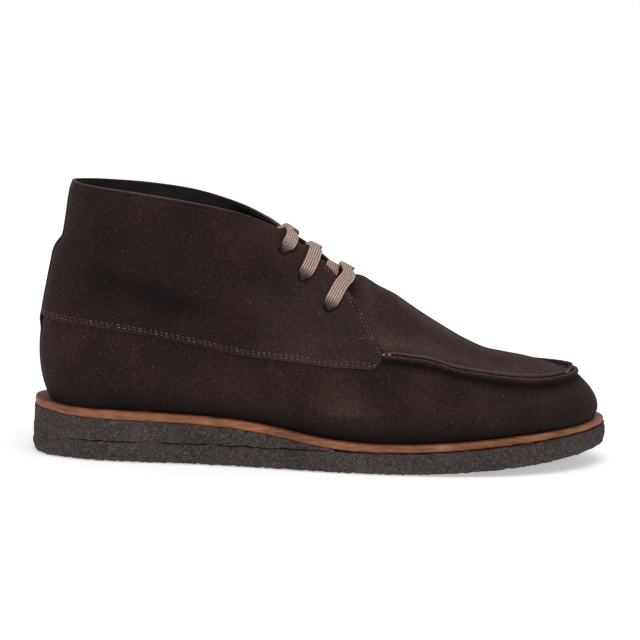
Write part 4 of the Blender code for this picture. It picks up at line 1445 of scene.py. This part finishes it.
# %% [markdown]
# ## The lace
#
# One flat lace, 7.4 mm wide, makes a bar over each pair of holes and crosses under the facings from
# one bar to the next. It keeps its width until just before a hole and then gathers all at once. It
# is drawn as one band that follows a path of points. Each point carries the lace's width and the
# side it faces, and the band's section has six low ribs, as a flat woven lace has.

# %% The lace's path
LACE_THICK, LACE_GAP, LACE_FOLDED, TURN_RADIUS = 1.3, 0.62, 3.4, 1.5
CREST_BOW = 0.7  # share of a bar's bow that is left where it crosses the crest
# On its way to a hole: distance from it, rise over the bar's own height, width.
GATHER = ((6.5, 0.0, 7.4), (4.6, 0.05, 7.4), (3.2, 0.1, 7.2), (2.2, 0.1, 6.8), (1.4, 0.0, 6.0))
# Its bend into a hole: distance from the hole and drop, in shares of the bend's radius.
INTO_HOLE = ((0.5, 0.13), (0.13, 0.5), (0.0, 1.0))
FAR_SIDE = (4.4, 5.4)  # where it opens again inside, and its width there
RUN_STEPS = 41
HOLE_CLEAR = 8.0  # a run leaves this much of its way to the turns at its two holes
HIDDEN_END = 7  # points of a turn, from outside, after which the lace's end stops


def bar_row(across, row, back, bow):
    """The row that a bar lies on: it bows up the throat between its two holes."""
    reach = abs(across)
    if reach < 1:
        return row + bow * (CREST_BOW + (1 - CREST_BOW) * float(ease(reach)))
    return row + bow * (1 - ((reach - 1) / back) ** 1.5)


def eyelet_turn(across, row, lift, bow, rising):
    """The way through one hole: points from outside to inside, or back when it rises."""
    point, normal, ahead = throat_frame(across, row)
    back = abs(across) - 1
    nearer = math.copysign(1 + 0.6 * back, across)
    onward = throat_frame(nearer, bar_row(nearer, row, back, bow))[0] - point
    outside = (onward - normal * onward.dot(normal)).normalized()
    inside = ahead if across < 0 else -ahead
    top = OVERLAY + lift + LACE_THICK / 2
    low = LACE_GAP + LACE_THICK / 2 - TONGUE_UNDER
    turn = [(away * TURN_RADIUS, drop * TURN_RADIUS) for away, drop in INTO_HOLE]
    steps = [(away, top + rise, width) for away, rise, width in GATHER]
    steps += [(away, top - drop, LACE_FOLDED) for away, drop in turn]
    steps += [(away, low + drop, LACE_FOLDED) for away, drop in turn[::-1]]
    steps += [(TURN_RADIUS, low, LACE_FOLDED), (FAR_SIDE[0], low, FAR_SIDE[1])]
    side = normal.cross(ahead).normalized()
    ways = [outside if h > 0 else inside for _, h, _ in steps]
    found = [(point + way * q + normal * h, side, w) for way, (q, h, w) in zip(ways, steps)]
    return found[::-1] if rising else found


# %% From hole to hole
def lace_run(start, end, lift=None, bow=0.0):
    """From hole to hole: over the facings with a lift, or under them without one."""
    found = []
    ends = [throat_frame(*hole)[0] for hole in (start, end)]
    for share in np.linspace(0.0, 1.0, RUN_STEPS)[1:-1]:
        across = start[0] + (end[0] - start[0]) * share
        row = start[1] + (end[1] - start[1]) * share
        if lift is not None:
            row = bar_row(across, row, abs(start[0]) - 1, bow)
        point, normal, ahead = throat_frame(across, row)
        if min((point - hole).length for hole in ends) < HOLE_CLEAR:
            continue
        if lift is None:
            height = LACE_GAP + LACE_THICK / 2 - below_lacing(across)
        else:
            crossing = LACE_GAP + LACE_THICK * 1.5 + GAP - TONGUE_MIDDLE
            high = OVERLAY + lift + LACE_THICK / 2
            height = crossing + (high - crossing) * float(ease(abs(across)))
        found.append((point + normal * height, normal.cross(ahead).normalized(), LACE_WIDTH))
    return found


holes = eyelets()
bars = [(lift, bow) for _, _, lift, bow in EYELET_ROWS]
path = eyelet_turn(*holes[0], *bars[0], rising=True)[-HIDDEN_END - 1 :]
for k, bar in enumerate(bars):
    outer_hole, inner_hole = holes[2 * k : 2 * k + 2]
    path += lace_run(outer_hole, inner_hole, *bar)
    turn = eyelet_turn(*inner_hole, *bar, rising=False)
    if k + 1 < len(bars):
        next_hole = holes[2 * k + 2]
        path += turn + lace_run(inner_hole, next_hole)
        path += eyelet_turn(*next_hole, *bars[k + 1], rising=True)
    else:
        path += turn[: HIDDEN_END + 1]
print("lace path:", len(path), "points")

# %% Build the lace
RIB_HEIGHT, RIB_LEVEL = 0.13, 0.6
EDGE_SHARE, FOLD_THICKER = 0.25, 0.45  # the band's edge is thinner, and gathered it is thicker
LACE_PACE = 0.7
SOIL_SHADE_REACH, SOIL_SHADE_START, SOIL_SHADE_MOST = 5.0, 2.0, 0.95  # soil and painted shade near a hole: millimetres from it, and the darkest


def smooth_path(places):
    """Rounds the path by averaging each point with its neighbours."""
    spots = np.array([[*c, *s, w] for c, s, w in places])
    spots[1:-1] = 0.25 * spots[:-2] + 0.5 * spots[1:-1] + 0.25 * spots[2:]
    return spots


def split_path(spots, pace):
    """The same path with its points about pace apart."""
    run = run_of(spots[:, :3])
    places = np.linspace(0.0, run[-1], int(run[-1] / pace))
    return np.column_stack([np.interp(places, run, column) for column in spots.T]), places


def lace_section(width):
    """Half the outline of the band's section: places across, and the thickness there."""
    across = np.linspace(-1.0, 1.0, 6 * RIBS + 1)
    crown = (1 - np.abs(across) ** 6) ** 0.5
    folded = 1 + FOLD_THICKER * (1 - min(width / LACE_WIDTH, 1.0))
    thick = LACE_THICK / 2 * folded * (EDGE_SHARE + (1 - EDGE_SHARE) * crown)
    ribs = np.abs(np.sin(across * RIBS * math.pi / 2)) - RIB_LEVEL
    return across, thick + RIB_HEIGHT * ribs * crown


def loft(bm, rings):
    """Faces from each closed ring of vertices to the next."""
    made = []
    for low, high in zip(rings, rings[1:]):
        for k in range(len(low)):
            after = (k + 1) % len(low)
            made.append(bm.faces.new([low[k], low[after], high[after], high[k]]))
    return made


# %% Sweep the band along the path
hole_places = np.array([throat_frame(*hole)[0] for hole in holes])
spots, lace_length = split_path(smooth_path(path), LACE_PACE)
print(f"lace: {lace_length[-1]:.0f} mm of it is laced")
bm = bmesh.new()
layer_soil_and_shade = bm.verts.layers.float.new("soil_and_shade")
uv_of, rings = {}, []
for k, spot in enumerate(spots):
    away = np.linalg.norm(hole_places - spot[:3], axis=1).min()
    centre, side, width = Vector(spot[:3]), Vector(spot[3:6]), spot[6]
    along = Vector(spots[min(k + 1, len(spots) - 1)][:3]) - Vector(spots[max(k - 1, 0)][:3])
    along.normalize()
    side = (side - along * side.dot(along)).normalized()
    up = along.cross(side)
    across, thick = lace_section(width)
    ring = []
    for sign, order in ((1, range(len(across))), (-1, range(len(across) - 2, 0, -1))):
        for i in order:
            place = centre + side * across[i] * width / 2 + up * sign * thick[i]
            vert = bm.verts.new(place)
            vert[layer_soil_and_shade] = SOIL_SHADE_MOST * float(ease(1 - (away - SOIL_SHADE_START) / SOIL_SHADE_REACH))
            uv_of[vert] = (across[i] * LACE_WIDTH / 2 * MM, lace_length[k] * MM)
            ring.append(vert)
    rings.append(ring)
layer_uv = bm.loops.layers.uv.new("lace")
for face in loft(bm, rings):
    for loop in face.loops:
        loop[layer_uv].uv = uv_of[loop.vert]
bm.faces.new(rings[0][::-1])
bm.faces.new(rings[-1])
lace = finish_mesh("flat_lace", bm)
settle(lace, [cotton], "lace")

# %% [markdown]
# ## The sole
#
# Under the upper lie three layers. The midsole is a 4 mm board of tan leather whose edge is left
# raw, so its lower line is ragged where the rubber has crept over it. Below it a wedge of crepe
# runs out at the ball of the foot, and under both lies the crepe outsole. The split between the
# two is pressed shut round the heel and in patches. Each layer is lofted from loops of the sole's
# plan outline. The rubber's pits and its torn lower edge are real relief, moved into the mesh, and
# finer grit is left to the material.


# %% Sole loops
MIDDLE_PITS, SMALL_PITS = 0.7, 0.4  # depth of the smaller pits, as shares of the large ones'
PITTED, PROUD = 0.55, 0.1  # how far the relief is moved inwards, and the most it may stand out


def turn_of(x):
    """The angle, 0 at the heel end and pi at the toe end, whose cosine gives x."""
    return math.acos(min(max(1 - 2 * x / SOLE_LENGTH, -1.0), 1.0))


PLAN_TURNS = [turn_of(row[0]) for row in SOLE_PLAN]
plan_outer, plan_inner = (table_curve(PLAN_TURNS, [row[k] for row in SOLE_PLAN]) for k in (1, 2))


def ground_z(x):
    """The underside: flat on the floor from the heel to the ball, and rising to the toe."""
    return 0.0 if x <= FLAT_END else max(0.0, ground_curve(x))


def sole_loop(inset, end_x, steps):
    """The outline once round, heel end first along the outer side, moved in by inset."""
    end = turn_of(end_x)
    turns = np.linspace(0.0, end, steps + 1)
    whole = end > math.pi - 0.001
    if not whole:
        turns = np.append(turns, end + turns[1])
    outer = [(SOLE_LENGTH / 2 * (1 - math.cos(t)), plan_outer(t)) for t in turns]
    inner = [(SOLE_LENGTH / 2 * (1 - math.cos(t)), plan_inner(t)) for t in turns[1:]][::-1]
    loop = np.array(outer + (inner[1:] if whole else inner))
    along = np.roll(loop, -1, 0) - np.roll(loop, 1, 0)
    along /= np.linalg.norm(along, axis=1)[:, None]
    moved = loop + inset * np.column_stack([-along[:, 1], along[:, 0]])
    return moved if whole else np.delete(moved, (steps + 1, steps + 2), axis=0)


def inside_sole(x):
    """The same place, or the sole's own end where a loop has been moved past it."""
    return min(max(x, 0.0), SOLE_LENGTH)


# %% Closing, lofting and roughening a layer
def grid_cap(bm, level, height, across):
    """Fills a loop with rows of faces from its outer to its inner side, at a height function."""
    count, previous = len(level), None
    for k in range((count + 1) // 2 + 1):
        outer, inner = level[k], level[-k % count]
        line = [outer]
        if outer is not inner:
            for share in np.linspace(0.0, 1.0, across + 1)[1:-1]:
                x, y = outer.co.xy.lerp(inner.co.xy, share)
                line.append(bm.verts.new((x, y, height(inside_sole(x), y))))
            line.append(inner)
        if previous:
            last, before = len(line) - 1, len(previous) - 1
            for i in range(max(last, before)):
                corners = (
                    previous[min(i, before)],
                    previous[min(i + 1, before)],
                    line[min(i + 1, last)],
                    line[min(i, last)],
                )
                kept = [v for n, v in enumerate(corners) if v is not corners[n - 1]]
                if len(set(kept)) > 2:
                    bm.faces.new(kept)
        previous = line
        if outer is inner and k:
            break


def sole_layer(rows, end_x=SOLE_LENGTH, steps=360, across=30):
    """A layer: each row gives an inset and a height function of x and y; both ends are closed."""
    bm = bmesh.new()
    levels = []
    for inset, height in rows:
        loop = sole_loop(inset, end_x, steps)
        levels.append([bm.verts.new((x, y, height(inside_sole(x), y))) for x, y in loop])
    loft(bm, levels)
    grid_cap(bm, levels[0], rows[0][1], across)
    grid_cap(bm, levels[-1], rows[-1][1], across)
    return bm


def between(low, high, share):
    """The height function at a share of the way from one height function to another."""
    return lambda x, y: low(x) + share * (high(x) - low(x))


def roughen(bm, depth, size, seed):
    """Pits the surface: points sink along their normals by smooth noise of three sizes."""
    bm.normal_update()
    for vert in bm.verts:
        x, y, z = (c / size for c in vert.co)
        deep = ripple(x + seed, y, z)
        deep += MIDDLE_PITS * ripple(2.3 * x, 2.3 * y + seed, 2.3 * z)
        deep += SMALL_PITS * ripple(5.1 * x, 5.1 * y, 5.1 * z + seed)
        vert.co += vert.normal * min(depth * (deep - PITTED), PROUD)
    return bm


# %% Build the outsole
RUBBER_RELIEF, RUBBER_PITS = 0.5, 2.2  # depth and width of the large pits
SIDE_ROWS, SIDE_BOW, SIDE_MIDDLE = 10, 4.5, 0.55  # the side bulges a little at half its height
# Waves of the ragged lines: height, length, seed.
TORN_WAVES = ((0.6, 5.0, 3.0), (0.5, 1.9, 8.0))
CREPT_WAVES = ((0.55, 7.0, 20.0), (0.45, 2.2, 14.0))
SPLIT_WAVES = ((0.5, 6.0, 31.0), (0.3, 2.0, 5.0))
# Where the split is pressed shut: how high, the patches' length and seed, and round the heel.
FUSED_HIGH, FUSED_PATCH, FUSED_HEEL, FUSED_FADE = 0.9, (11.0, 47.0), 18.0, 10.0


def ragged(waves, x, y, least=-1.0):
    """A ragged line: the sum of its waves, each cut off below at the least."""
    return sum(
        high * max(least, ripple(x / long, y / long, seed)) for high, long, seed in waves
    )


def torn(x, y):
    """The crepe's torn lower edge, in millimetres of height; it is only torn upwards."""
    return ragged(TORN_WAVES, x, y, least=0.0)


def crept(x, y):
    """How far the rubber has crept up over the leather's edge."""
    return ragged(CREPT_WAVES, x, y)


def split_wobble(x, y):
    """The ragged meeting line of the two crepe layers."""
    return ragged(SPLIT_WAVES, x, y)


def fused(x, y):
    """How far the lower layer has smeared up over the split: all of it round the heel."""
    long, seed = FUSED_PATCH
    patches = float(ease((ripple(x / long, y / long, seed) - 0.25) / 0.3))
    return FUSED_HIGH * max(patches, 1 - float(ease((x - FUSED_HEEL) / FUSED_FADE)))


def outsole_edge(x, y):
    """The top of its side: under the wedge the split, and past the wedge the leather."""
    return split_wobble(x, y) + fused(x, y) if x < WEDGE_END else crept(x, y)


# Each row of a layer: how far it stays inside the plan outline, and its height.
outsole_rows = [
    (3.6, lambda x, y: ground_z(x)),
    (1.6, lambda x, y: ground_z(x) + 0.35 + torn(x, y)),
    (0.7, lambda x, y: ground_z(x) + 1.6 + torn(x, y)),
]
for share in np.linspace(0.25, 0.93, SIDE_ROWS):
    inset = SIDE_BOW * (share - SIDE_MIDDLE) ** 2
    outsole_rows.append((inset, between(ground_z, split_z, share)))
outsole_rows += [
    (0.3, lambda x, y: split_z(x) - 0.12 + outsole_edge(x, y)),
    (0.65, lambda x, y: split_z(x) + (split_wobble(x, y) if x < WEDGE_END else 0.0)),
    (2.4, lambda x, y: split_z(x)),
]
outsole = finish_mesh(
    "crepe_outsole", roughen(sole_layer(outsole_rows), RUBBER_RELIEF, RUBBER_PITS, 5.0)
)
settle(outsole, [crepe], "outsole")


# %% Build the heel wedge and the midsole
WEDGE_LEAST = 0.5  # its thickness where it runs out
WEDGE_INSET, WEDGE_LEAN = 0.4, 0.5  # its side leans in towards the top
LEATHER_RELIEF, LEATHER_GRAIN = 0.14, 5.0


def wedge_under(x, y=0.0):
    """The wedge's underside, a gap above the outsole."""
    return split_z(x) + GAP


def wedge_top(x, y=0.0):
    """Its upper side, a gap below the midsole."""
    return max(under_midsole_z(x) - GAP, split_z(x) + GAP + WEDGE_LEAST)


wedge_rows = [(2.4, wedge_under), (0.45, lambda x, y: wedge_under(x) + split_wobble(x, y))]
for share in np.linspace(0.1, 0.92, SIDE_ROWS):
    inset = WEDGE_INSET + WEDGE_LEAN * share
    wedge_rows.append((inset, between(wedge_under, wedge_top, share)))
wedge_rows += [(0.95, lambda x, y: wedge_top(x) + 0.4 + crept(x, y)), (2.2, wedge_top)]
heel_wedge = finish_mesh(
    "crepe_wedge",
    roughen(sole_layer(wedge_rows, WEDGE_END, 260), RUBBER_RELIEF, RUBBER_PITS, 11.0),
)
settle(heel_wedge, [crepe], "heel_wedge")

midsole_rows = [
    (2.6, lambda x, y: under_midsole_z(x)),
    (1.7, lambda x, y: under_midsole_z(x)),
    (1.5, lambda x, y: under_midsole_z(x) + 0.3),
]
for share in (0.25, 0.5, 0.75):
    midsole_rows.append((1.3, between(under_midsole_z, over_midsole_z, share)))
midsole_rows += [
    (1.5, lambda x, y: over_midsole_z(x) - 0.35),
    (1.85, lambda x, y: over_midsole_z(x) - 0.05),
    (2.6, lambda x, y: over_midsole_z(x)),
]
midsole = finish_mesh(
    "leather_midsole", roughen(sole_layer(midsole_rows), LEATHER_RELIEF, LEATHER_GRAIN, 2.0)
)
settle(midsole, [tan], "midsole")

insole = frame["nodes"]["insole"]  # it hardly shows, so the solid itself takes the lining's look
insole.data.materials.clear()
insole.data.materials.append(lining)

# %% [markdown]
# ## Stitches
#
# The panels are sewn with brown waxed thread. A row of stitches is one little shape repeated along
# a line, which is what Geometry Nodes do best: the line is cut at an even pitch, a stitch is set on
# each point, turned along the line and to the leather's outward side, and a random number makes
# each a little longer or shorter. The same tree makes every row, and its named inputs give each
# row its pitch and thread.


# %% A stitch
STITCH_SIDES = 6
STITCH_RINGS = (-1.0, -0.8, -0.35, 0.35, 0.8, 1.0)
STITCH_DIVE, STITCH_TIP = 0.35, 0.06


def stitch_mesh():
    """One stitch lying along X: a short rounded thread that dives at both ends."""
    bm = bmesh.new()
    rings = []
    for along in STITCH_RINGS:
        thick = 0.5 * math.sqrt(max(1 - abs(along) ** 3, STITCH_TIP))
        dive = -STITCH_DIVE * abs(along) ** 3
        turns = [2 * math.pi * k / STITCH_SIDES for k in range(STITCH_SIDES)]
        ring = [(along * 0.5, thick * math.cos(t), thick * math.sin(t) + dive) for t in turns]
        rings.append([bm.verts.new(point) for point in ring])
    loft(bm, rings)
    bm.faces.new(rings[0])
    bm.faces.new(rings[-1][::-1])
    bmesh.ops.recalc_face_normals(bm, faces=bm.faces)
    mesh = mesh_from("stitch", bm)
    mesh.shade_smooth()
    return bpy.data.objects.new("stitch", mesh)  # not in the scene: only the tree uses it


# %% The tree that sews
def stitch_tree():
    """The node tree of a row of stitches, and the identifiers of its named inputs."""
    tree = bpy.data.node_groups.new("stitch_row", "GeometryNodeTree")
    face = tree.interface
    face.new_socket("Geometry", in_out="INPUT", socket_type="NodeSocketGeometry")
    face.new_socket("Geometry", in_out="OUTPUT", socket_type="NodeSocketGeometry")
    sockets = {}
    for name, kind in (
        ("Pitch", "NodeSocketFloat"),
        ("Length", "NodeSocketFloat"),
        ("Thickness", "NodeSocketFloat"),
        ("Unevenness", "NodeSocketFloat"),
        ("Seed", "NodeSocketInt"),
        ("Stitch", "NodeSocketObject"),
        ("Thread", "NodeSocketMaterial"),
    ):
        sockets[name] = face.new_socket(name, in_out="INPUT", socket_type=kind)
    given = add_node(tree, "NodeGroupInput").outputs
    line = add_node(tree, "GeometryNodeMeshToCurve", {"Mesh": given["Geometry"]})
    even = add_node(
        tree,
        "GeometryNodeResampleCurve",
        {"Curve": line.outputs["Curve"], "Length": given["Pitch"]},
        mode="LENGTH",
    )
    side = add_node(
        tree, "GeometryNodeInputNamedAttribute", {"Name": "outward"}, data_type="FLOAT_VECTOR"
    )
    along = add_node(tree, "GeometryNodeInputTangent")
    upright = add_node(
        tree,
        "FunctionNodeAlignRotationToVector",
        {"Vector": side.outputs["Attribute"]},
        axis="Z",
        pivot_axis="AUTO",
    )
    turned = add_node(
        tree,
        "FunctionNodeAlignRotationToVector",
        {"Rotation": upright.outputs["Rotation"], "Vector": along.outputs["Tangent"]},
        axis="X",
        pivot_axis="Z",
    )
    least = add_node(
        tree, "ShaderNodeMath", {0: 1.0, 1: given["Unevenness"]}, operation="SUBTRACT"
    )
    most = add_node(tree, "ShaderNodeMath", {0: 1.0, 1: given["Unevenness"]}, operation="ADD")
    vary = add_node(
        tree,
        "FunctionNodeRandomValue",
        {"Min": least.outputs["Value"], "Max": most.outputs["Value"], "Seed": given["Seed"]},
        data_type="FLOAT",
    )
    long = add_node(
        tree,
        "ShaderNodeMath",
        {0: given["Length"], 1: vary.outputs["Value"]},
        operation="MULTIPLY",
    )
    size = add_node(
        tree,
        "ShaderNodeCombineXYZ",
        {"X": long.outputs["Value"], "Y": given["Thickness"], "Z": given["Thickness"]},
    )
    shape = add_node(tree, "GeometryNodeObjectInfo", {"Object": given["Stitch"]})
    set_on = add_node(
        tree,
        "GeometryNodeInstanceOnPoints",
        {
            "Points": even.outputs["Curve"],
            "Instance": shape.outputs["Geometry"],
            "Rotation": turned.outputs["Rotation"],
            "Scale": size.outputs["Vector"],
        },
    )
    real = add_node(
        tree, "GeometryNodeRealizeInstances", {"Geometry": set_on.outputs["Instances"]}
    )
    dyed = add_node(
        tree,
        "GeometryNodeSetMaterial",
        {"Geometry": real.outputs["Geometry"], "Material": given["Thread"]},
    )
    add_node(tree, "NodeGroupOutput", {"Geometry": dyed.outputs["Geometry"]})
    return tree, {name: socket.identifier for name, socket in sockets.items()}


stitch = stitch_mesh()
sewing_tree, stitch_inputs = stitch_tree()
print("stitch tree inputs:", stitch_inputs)


# %% Sewing a row
UNEVEN, SEWING_SEED = 0.18, 7


def sew(name, lines, pitch, length, thickness, made_of):
    """Sews rows of stitches: lines is a list of (points, directions), in millimetres."""
    mesh = bpy.data.meshes.new(name)
    points, edges, sides = [], [], []
    for spots, directions in lines:
        first = len(points)
        points += [tuple((np.array(p) + TO_FRAME) * MM) for p in spots]
        sides += [tuple(d) for d in directions]
        edges += [(first + k, first + k + 1) for k in range(len(spots) - 1)]
    mesh.from_pydata(points, edges, [])
    attribute = mesh.attributes.new("outward", "FLOAT_VECTOR", "POINT")
    attribute.data.foreach_set("vector", np.array(sides, float).ravel())
    obj = new_object(name, mesh)
    sewing = obj.modifiers.new("sewing", "NODES")
    sewing.node_group = sewing_tree
    for key, value in (
        ("Pitch", pitch * MM),
        ("Length", length * MM),
        ("Thickness", thickness * MM),
        ("Unevenness", UNEVEN),
        ("Seed", SEWING_SEED),
        ("Stitch", stitch),
        ("Thread", made_of),
    ):
        sewing[stitch_inputs[key]] = value
    apply_modifiers(obj)
    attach(obj, "root")
    print(f"{name}: {len(obj.data.polygons)} faces")


def on_panel(spots, points, directions, height):
    """Points moved out to a panel's face, with the panel's outward direction at each."""
    placed, ways = [], []
    for spot in spots:
        near = np.linalg.norm(points - spot, axis=2)
        k, i = np.unravel_index(np.argmin(near), near.shape)
        stand = height if np.isscalar(height) else height[k, i]
        placed.append(spot + directions[k, i] * stand)
        ways.append(directions[k, i])
    return np.array(placed), np.array(ways)


# %% Lines on the quarters
SUNK = 0.12  # how far a stitch pulls itself into the nap
# The two rows along the lower edge: distance from it, first station, stations short of the facing.
EDGE_SEAMS = ((1.5, 0.0, 0.1), (2.9, 0.08, 0.2))
COLLAR_SEAM, COLLAR_SHORT = 3.2, 0.3
FACING_SEAMS, FACING_LOW, FACING_HIGH = (1.3, 3.0), 1.5, 62.0
# Pitch, length and thickness of the stitches in each.
EDGE_STITCH, COLLAR_STITCH, FACING_STITCH = (2.8, 2.2, 0.56), (2.6, 1.9, 0.42), (2.5, 1.9, 0.52)


def point_along(line, distance):
    """The point of a line at a distance from its start."""
    return rows_along(line, np.array([0.0, distance]), 1)[0][1]


def edge_line(side, distance, first, last, collar=False):
    """A line at a distance from the quarter's lower edge, or from its collar."""
    lines = (quarter_line(side, station) for station in np.linspace(first, last, 150))
    return [point_along(line[::-1] if collar else line, distance) for line in lines]


def from_facing(side, distance, low, high):
    """A line beside the front edge of the quarter, between two heights above the seam."""
    spots = []
    for height in np.linspace(low, high, 80):
        front, behind = (
            point_along(bend(*quarter_curve(side, s), FINE), height)
            for s in (FACING, FACING - 0.2)
        )
        station = FACING - 0.2 * distance / np.linalg.norm(front - behind)
        spots.append(point_along(bend(*quarter_curve(side, station), FINE), height))
    return spots


def on_quarters(lines):
    """The lines moved out to the quarters' face, a little sunk, with the outward directions."""
    return [
        on_panel(draw_in(np.array(line)), quarter_points, quarter_out, OVERLAY - SUNK)
        for line in lines
    ]


both_sides = (OUTER, INNER)
low_lines = [
    edge_line(side, distance, first, FACING - short)
    for side in both_sides
    for distance, first, short in EDGE_SEAMS
]
sew("stitches_quarter_edge", on_quarters(low_lines), *EDGE_STITCH, brown_thread)
high_lines = [
    edge_line(side, COLLAR_SEAM, 0.0, FACING - COLLAR_SHORT, collar=True) for side in both_sides
]
sew("stitches_collar", on_quarters(high_lines), *COLLAR_STITCH, dark_thread)
front_lines = [
    from_facing(side, distance, FACING_LOW, FACING_HIGH)
    for side in both_sides
    for distance in FACING_SEAMS
]
sew("stitches_facing", on_quarters(front_lines), *FACING_STITCH, brown_thread)

# %% The bar tacks at the corners
# Where the facing ends, two short rows run back from it and take the pull of the lace.
TACK_HIGH, TACK_START, TACK_WIDE, TACK_APART = 10.0, 1.6, 8.0, 1.5
TACK_STITCH = (2.0, 1.5, 0.6)
tack_lines = []
for side in both_sides:
    across = [
        from_facing(side, distance, TACK_HIGH, TACK_HIGH + 1.0)[0]
        for distance in np.linspace(TACK_START, TACK_START + TACK_WIDE, 12)
    ]
    tack_lines.append(across)
    tack_lines.append([p - np.array([0.0, 0.0, TACK_APART]) for p in across[4:]])
sew("stitches_bar_tacks", on_quarters(tack_lines), *TACK_STITCH, brown_thread)

# %% Thread along the moccasin seam, and its pale knotted ends
LIP_STITCH, KNOT_STITCH = (PUCKER_PITCH, 2.0, 0.6), (1.7, 1.9, 0.7)
LIP_PLACE = 0.62  # share of the lower roll's width
# The thread's ends: first station, last station, height over the seam.
KNOTS = ((FACING + 0.02, FACING + 0.13, 1.4), (12.35, 12.5, 2.4))
lip_lines = []
for side in both_sides:
    spots = []
    for station in np.linspace(FACING + 0.25, TOE - 0.02, 170):
        line = bend(*wall_curve(side, station), FINE[::-1])
        below = SLIT + roll_size(ROLL_WALL, station)[0] * LIP_PLACE
        spots.append(point_along(line, below))
    lip_lines.append(on_panel(spots, wall_points, wall_out, wall_height - SUNK))
sew("stitches_moccasin_seam", lip_lines, *LIP_STITCH, dark_thread)

knots = []
for side in both_sides:
    for first, last, rise in KNOTS:
        stations = np.linspace(first, last, 8)
        ways = [seam_direction(side, s) for s in stations]
        knots.append(([wall_curve(side, s)[2] + w * rise for s, w in zip(stations, ways)], ways))
sew("thread_ends", knots, *KNOT_STITCH, pale_thread)
bpy.data.objects.remove(stitch, do_unlink=True)

# %% [markdown]
# ## Camera, floor and light
#
# The boot is seen from its little-toe side by a long lens, a little above sole height. It stands on
# a plain white floor under big soft lights. The floor itself glows as painted light, less near the
# boot, so the boot's shadow is only a pale edge under the sole.

# %% Camera
LENS, SENSOR, ROLLED = 135.0, 36.0, 1.4  # millimetres, millimetres, degrees
camera_data = bpy.data.cameras.new("camera")
camera_data.lens, camera_data.sensor_width = LENS, SENSOR
camera = new_object("camera", camera_data)
place, target = Vector((-0.0011, -1.2423, 0.2373)), Vector((-0.0011, 0.0, 0.0715))
level = (target - place).to_track_quat("-Z", "Y").to_matrix().to_4x4()
tilt = Matrix.Rotation(math.radians(ROLLED), 4, "Z")
camera.matrix_world = Matrix.Translation(place) @ level @ tilt
bpy.context.scene.camera = camera
print(f"camera: {LENS:.0f} mm lens, {(target - place).length:.2f} m away")

# %% Floor
FLOOR_REACH = 300.0
WHITE = (1.0, 1.0, 1.0, 1.0)
GLOW_NEAR, GLOW_FAR = (0.2, 0.42), (0.9, 0.69)  # metres from the boot, strength of the glow there
floor_bm = bmesh.new()
bmesh.ops.create_grid(floor_bm, x_segments=1, y_segments=1, size=FLOOR_REACH)
floor = new_object("floor", mesh_from("floor", floor_bm))
pale, pale_tree, pale_shader = new_material(
    "white_studio_floor", Roughness=0.9, Specular_IOR_Level=0.1
)
pale_shader.inputs["Base Color"].default_value = colour("#f4f4f4")
pale_shader.inputs["Emission Color"].default_value = WHITE
# The floor's glow is painted light, weaker where the boot stands, so that its shadow shows.
spot = add_node(pale_tree, "ShaderNodeTexCoord").outputs["Object"]
reach = add_node(pale_tree, "ShaderNodeVectorMath", {0: spot}, operation="LENGTH")
painted_glow = add_node(
    pale_tree,
    "ShaderNodeMapRange",
    {
        "Value": reach.outputs["Value"],
        "From Min": GLOW_NEAR[0],
        "From Max": GLOW_FAR[0],
        "To Min": GLOW_NEAR[1],
        "To Max": GLOW_FAR[1],
    },
)
pale_tree.links.new(painted_glow.outputs["Result"], pale_shader.inputs["Emission Strength"])
floor.data.materials.append(pale)

# %% Light
# name, place, width in metres, watts
LIGHTS = (
    ("top_light", (0.1, -0.5, 1.6), 1.2, 11.0),
    ("front_light", (-0.5, -1.6, 0.9), 0.9, 4.0),
    ("far_light", (0.5, 1.4, 1.1), 1.0, 3.0),
)
LIT_POINT = Vector((0.0, 0.0, 0.05))
for name, place, width, watts in LIGHTS:
    data = bpy.data.lights.new(name, "AREA")
    data.shape, data.size, data.energy = "DISK", width, watts
    light = new_object(name, data)
    light.location = place
    light.rotation_euler = (LIT_POINT - Vector(place)).to_track_quat("-Z", "Y").to_euler()

world = bpy.data.worlds.new("studio")
world.use_nodes = True
sky = world.node_tree
direction = add_node(sky, "ShaderNodeTexCoord").outputs["Generated"]
height = add_node(sky, "ShaderNodeSeparateXYZ", {"Vector": direction}).outputs["Z"]
# White round the horizon, as a studio wall, and dimmer overhead.
glow = add_node(
    sky,
    "ShaderNodeMapRange",
    {"Value": height, "From Min": 0.12, "From Max": 0.4, "To Min": 1.0, "To Max": 0.3},
)
sky.nodes["Background"].inputs["Color"].default_value = WHITE
sky.links.new(glow.outputs["Result"], sky.nodes["Background"].inputs["Strength"])
bpy.context.scene.world = world
bpy.context.scene.view_settings.view_transform = "Standard"

# %% The frame's last word
bpy.context.view_layer.update()
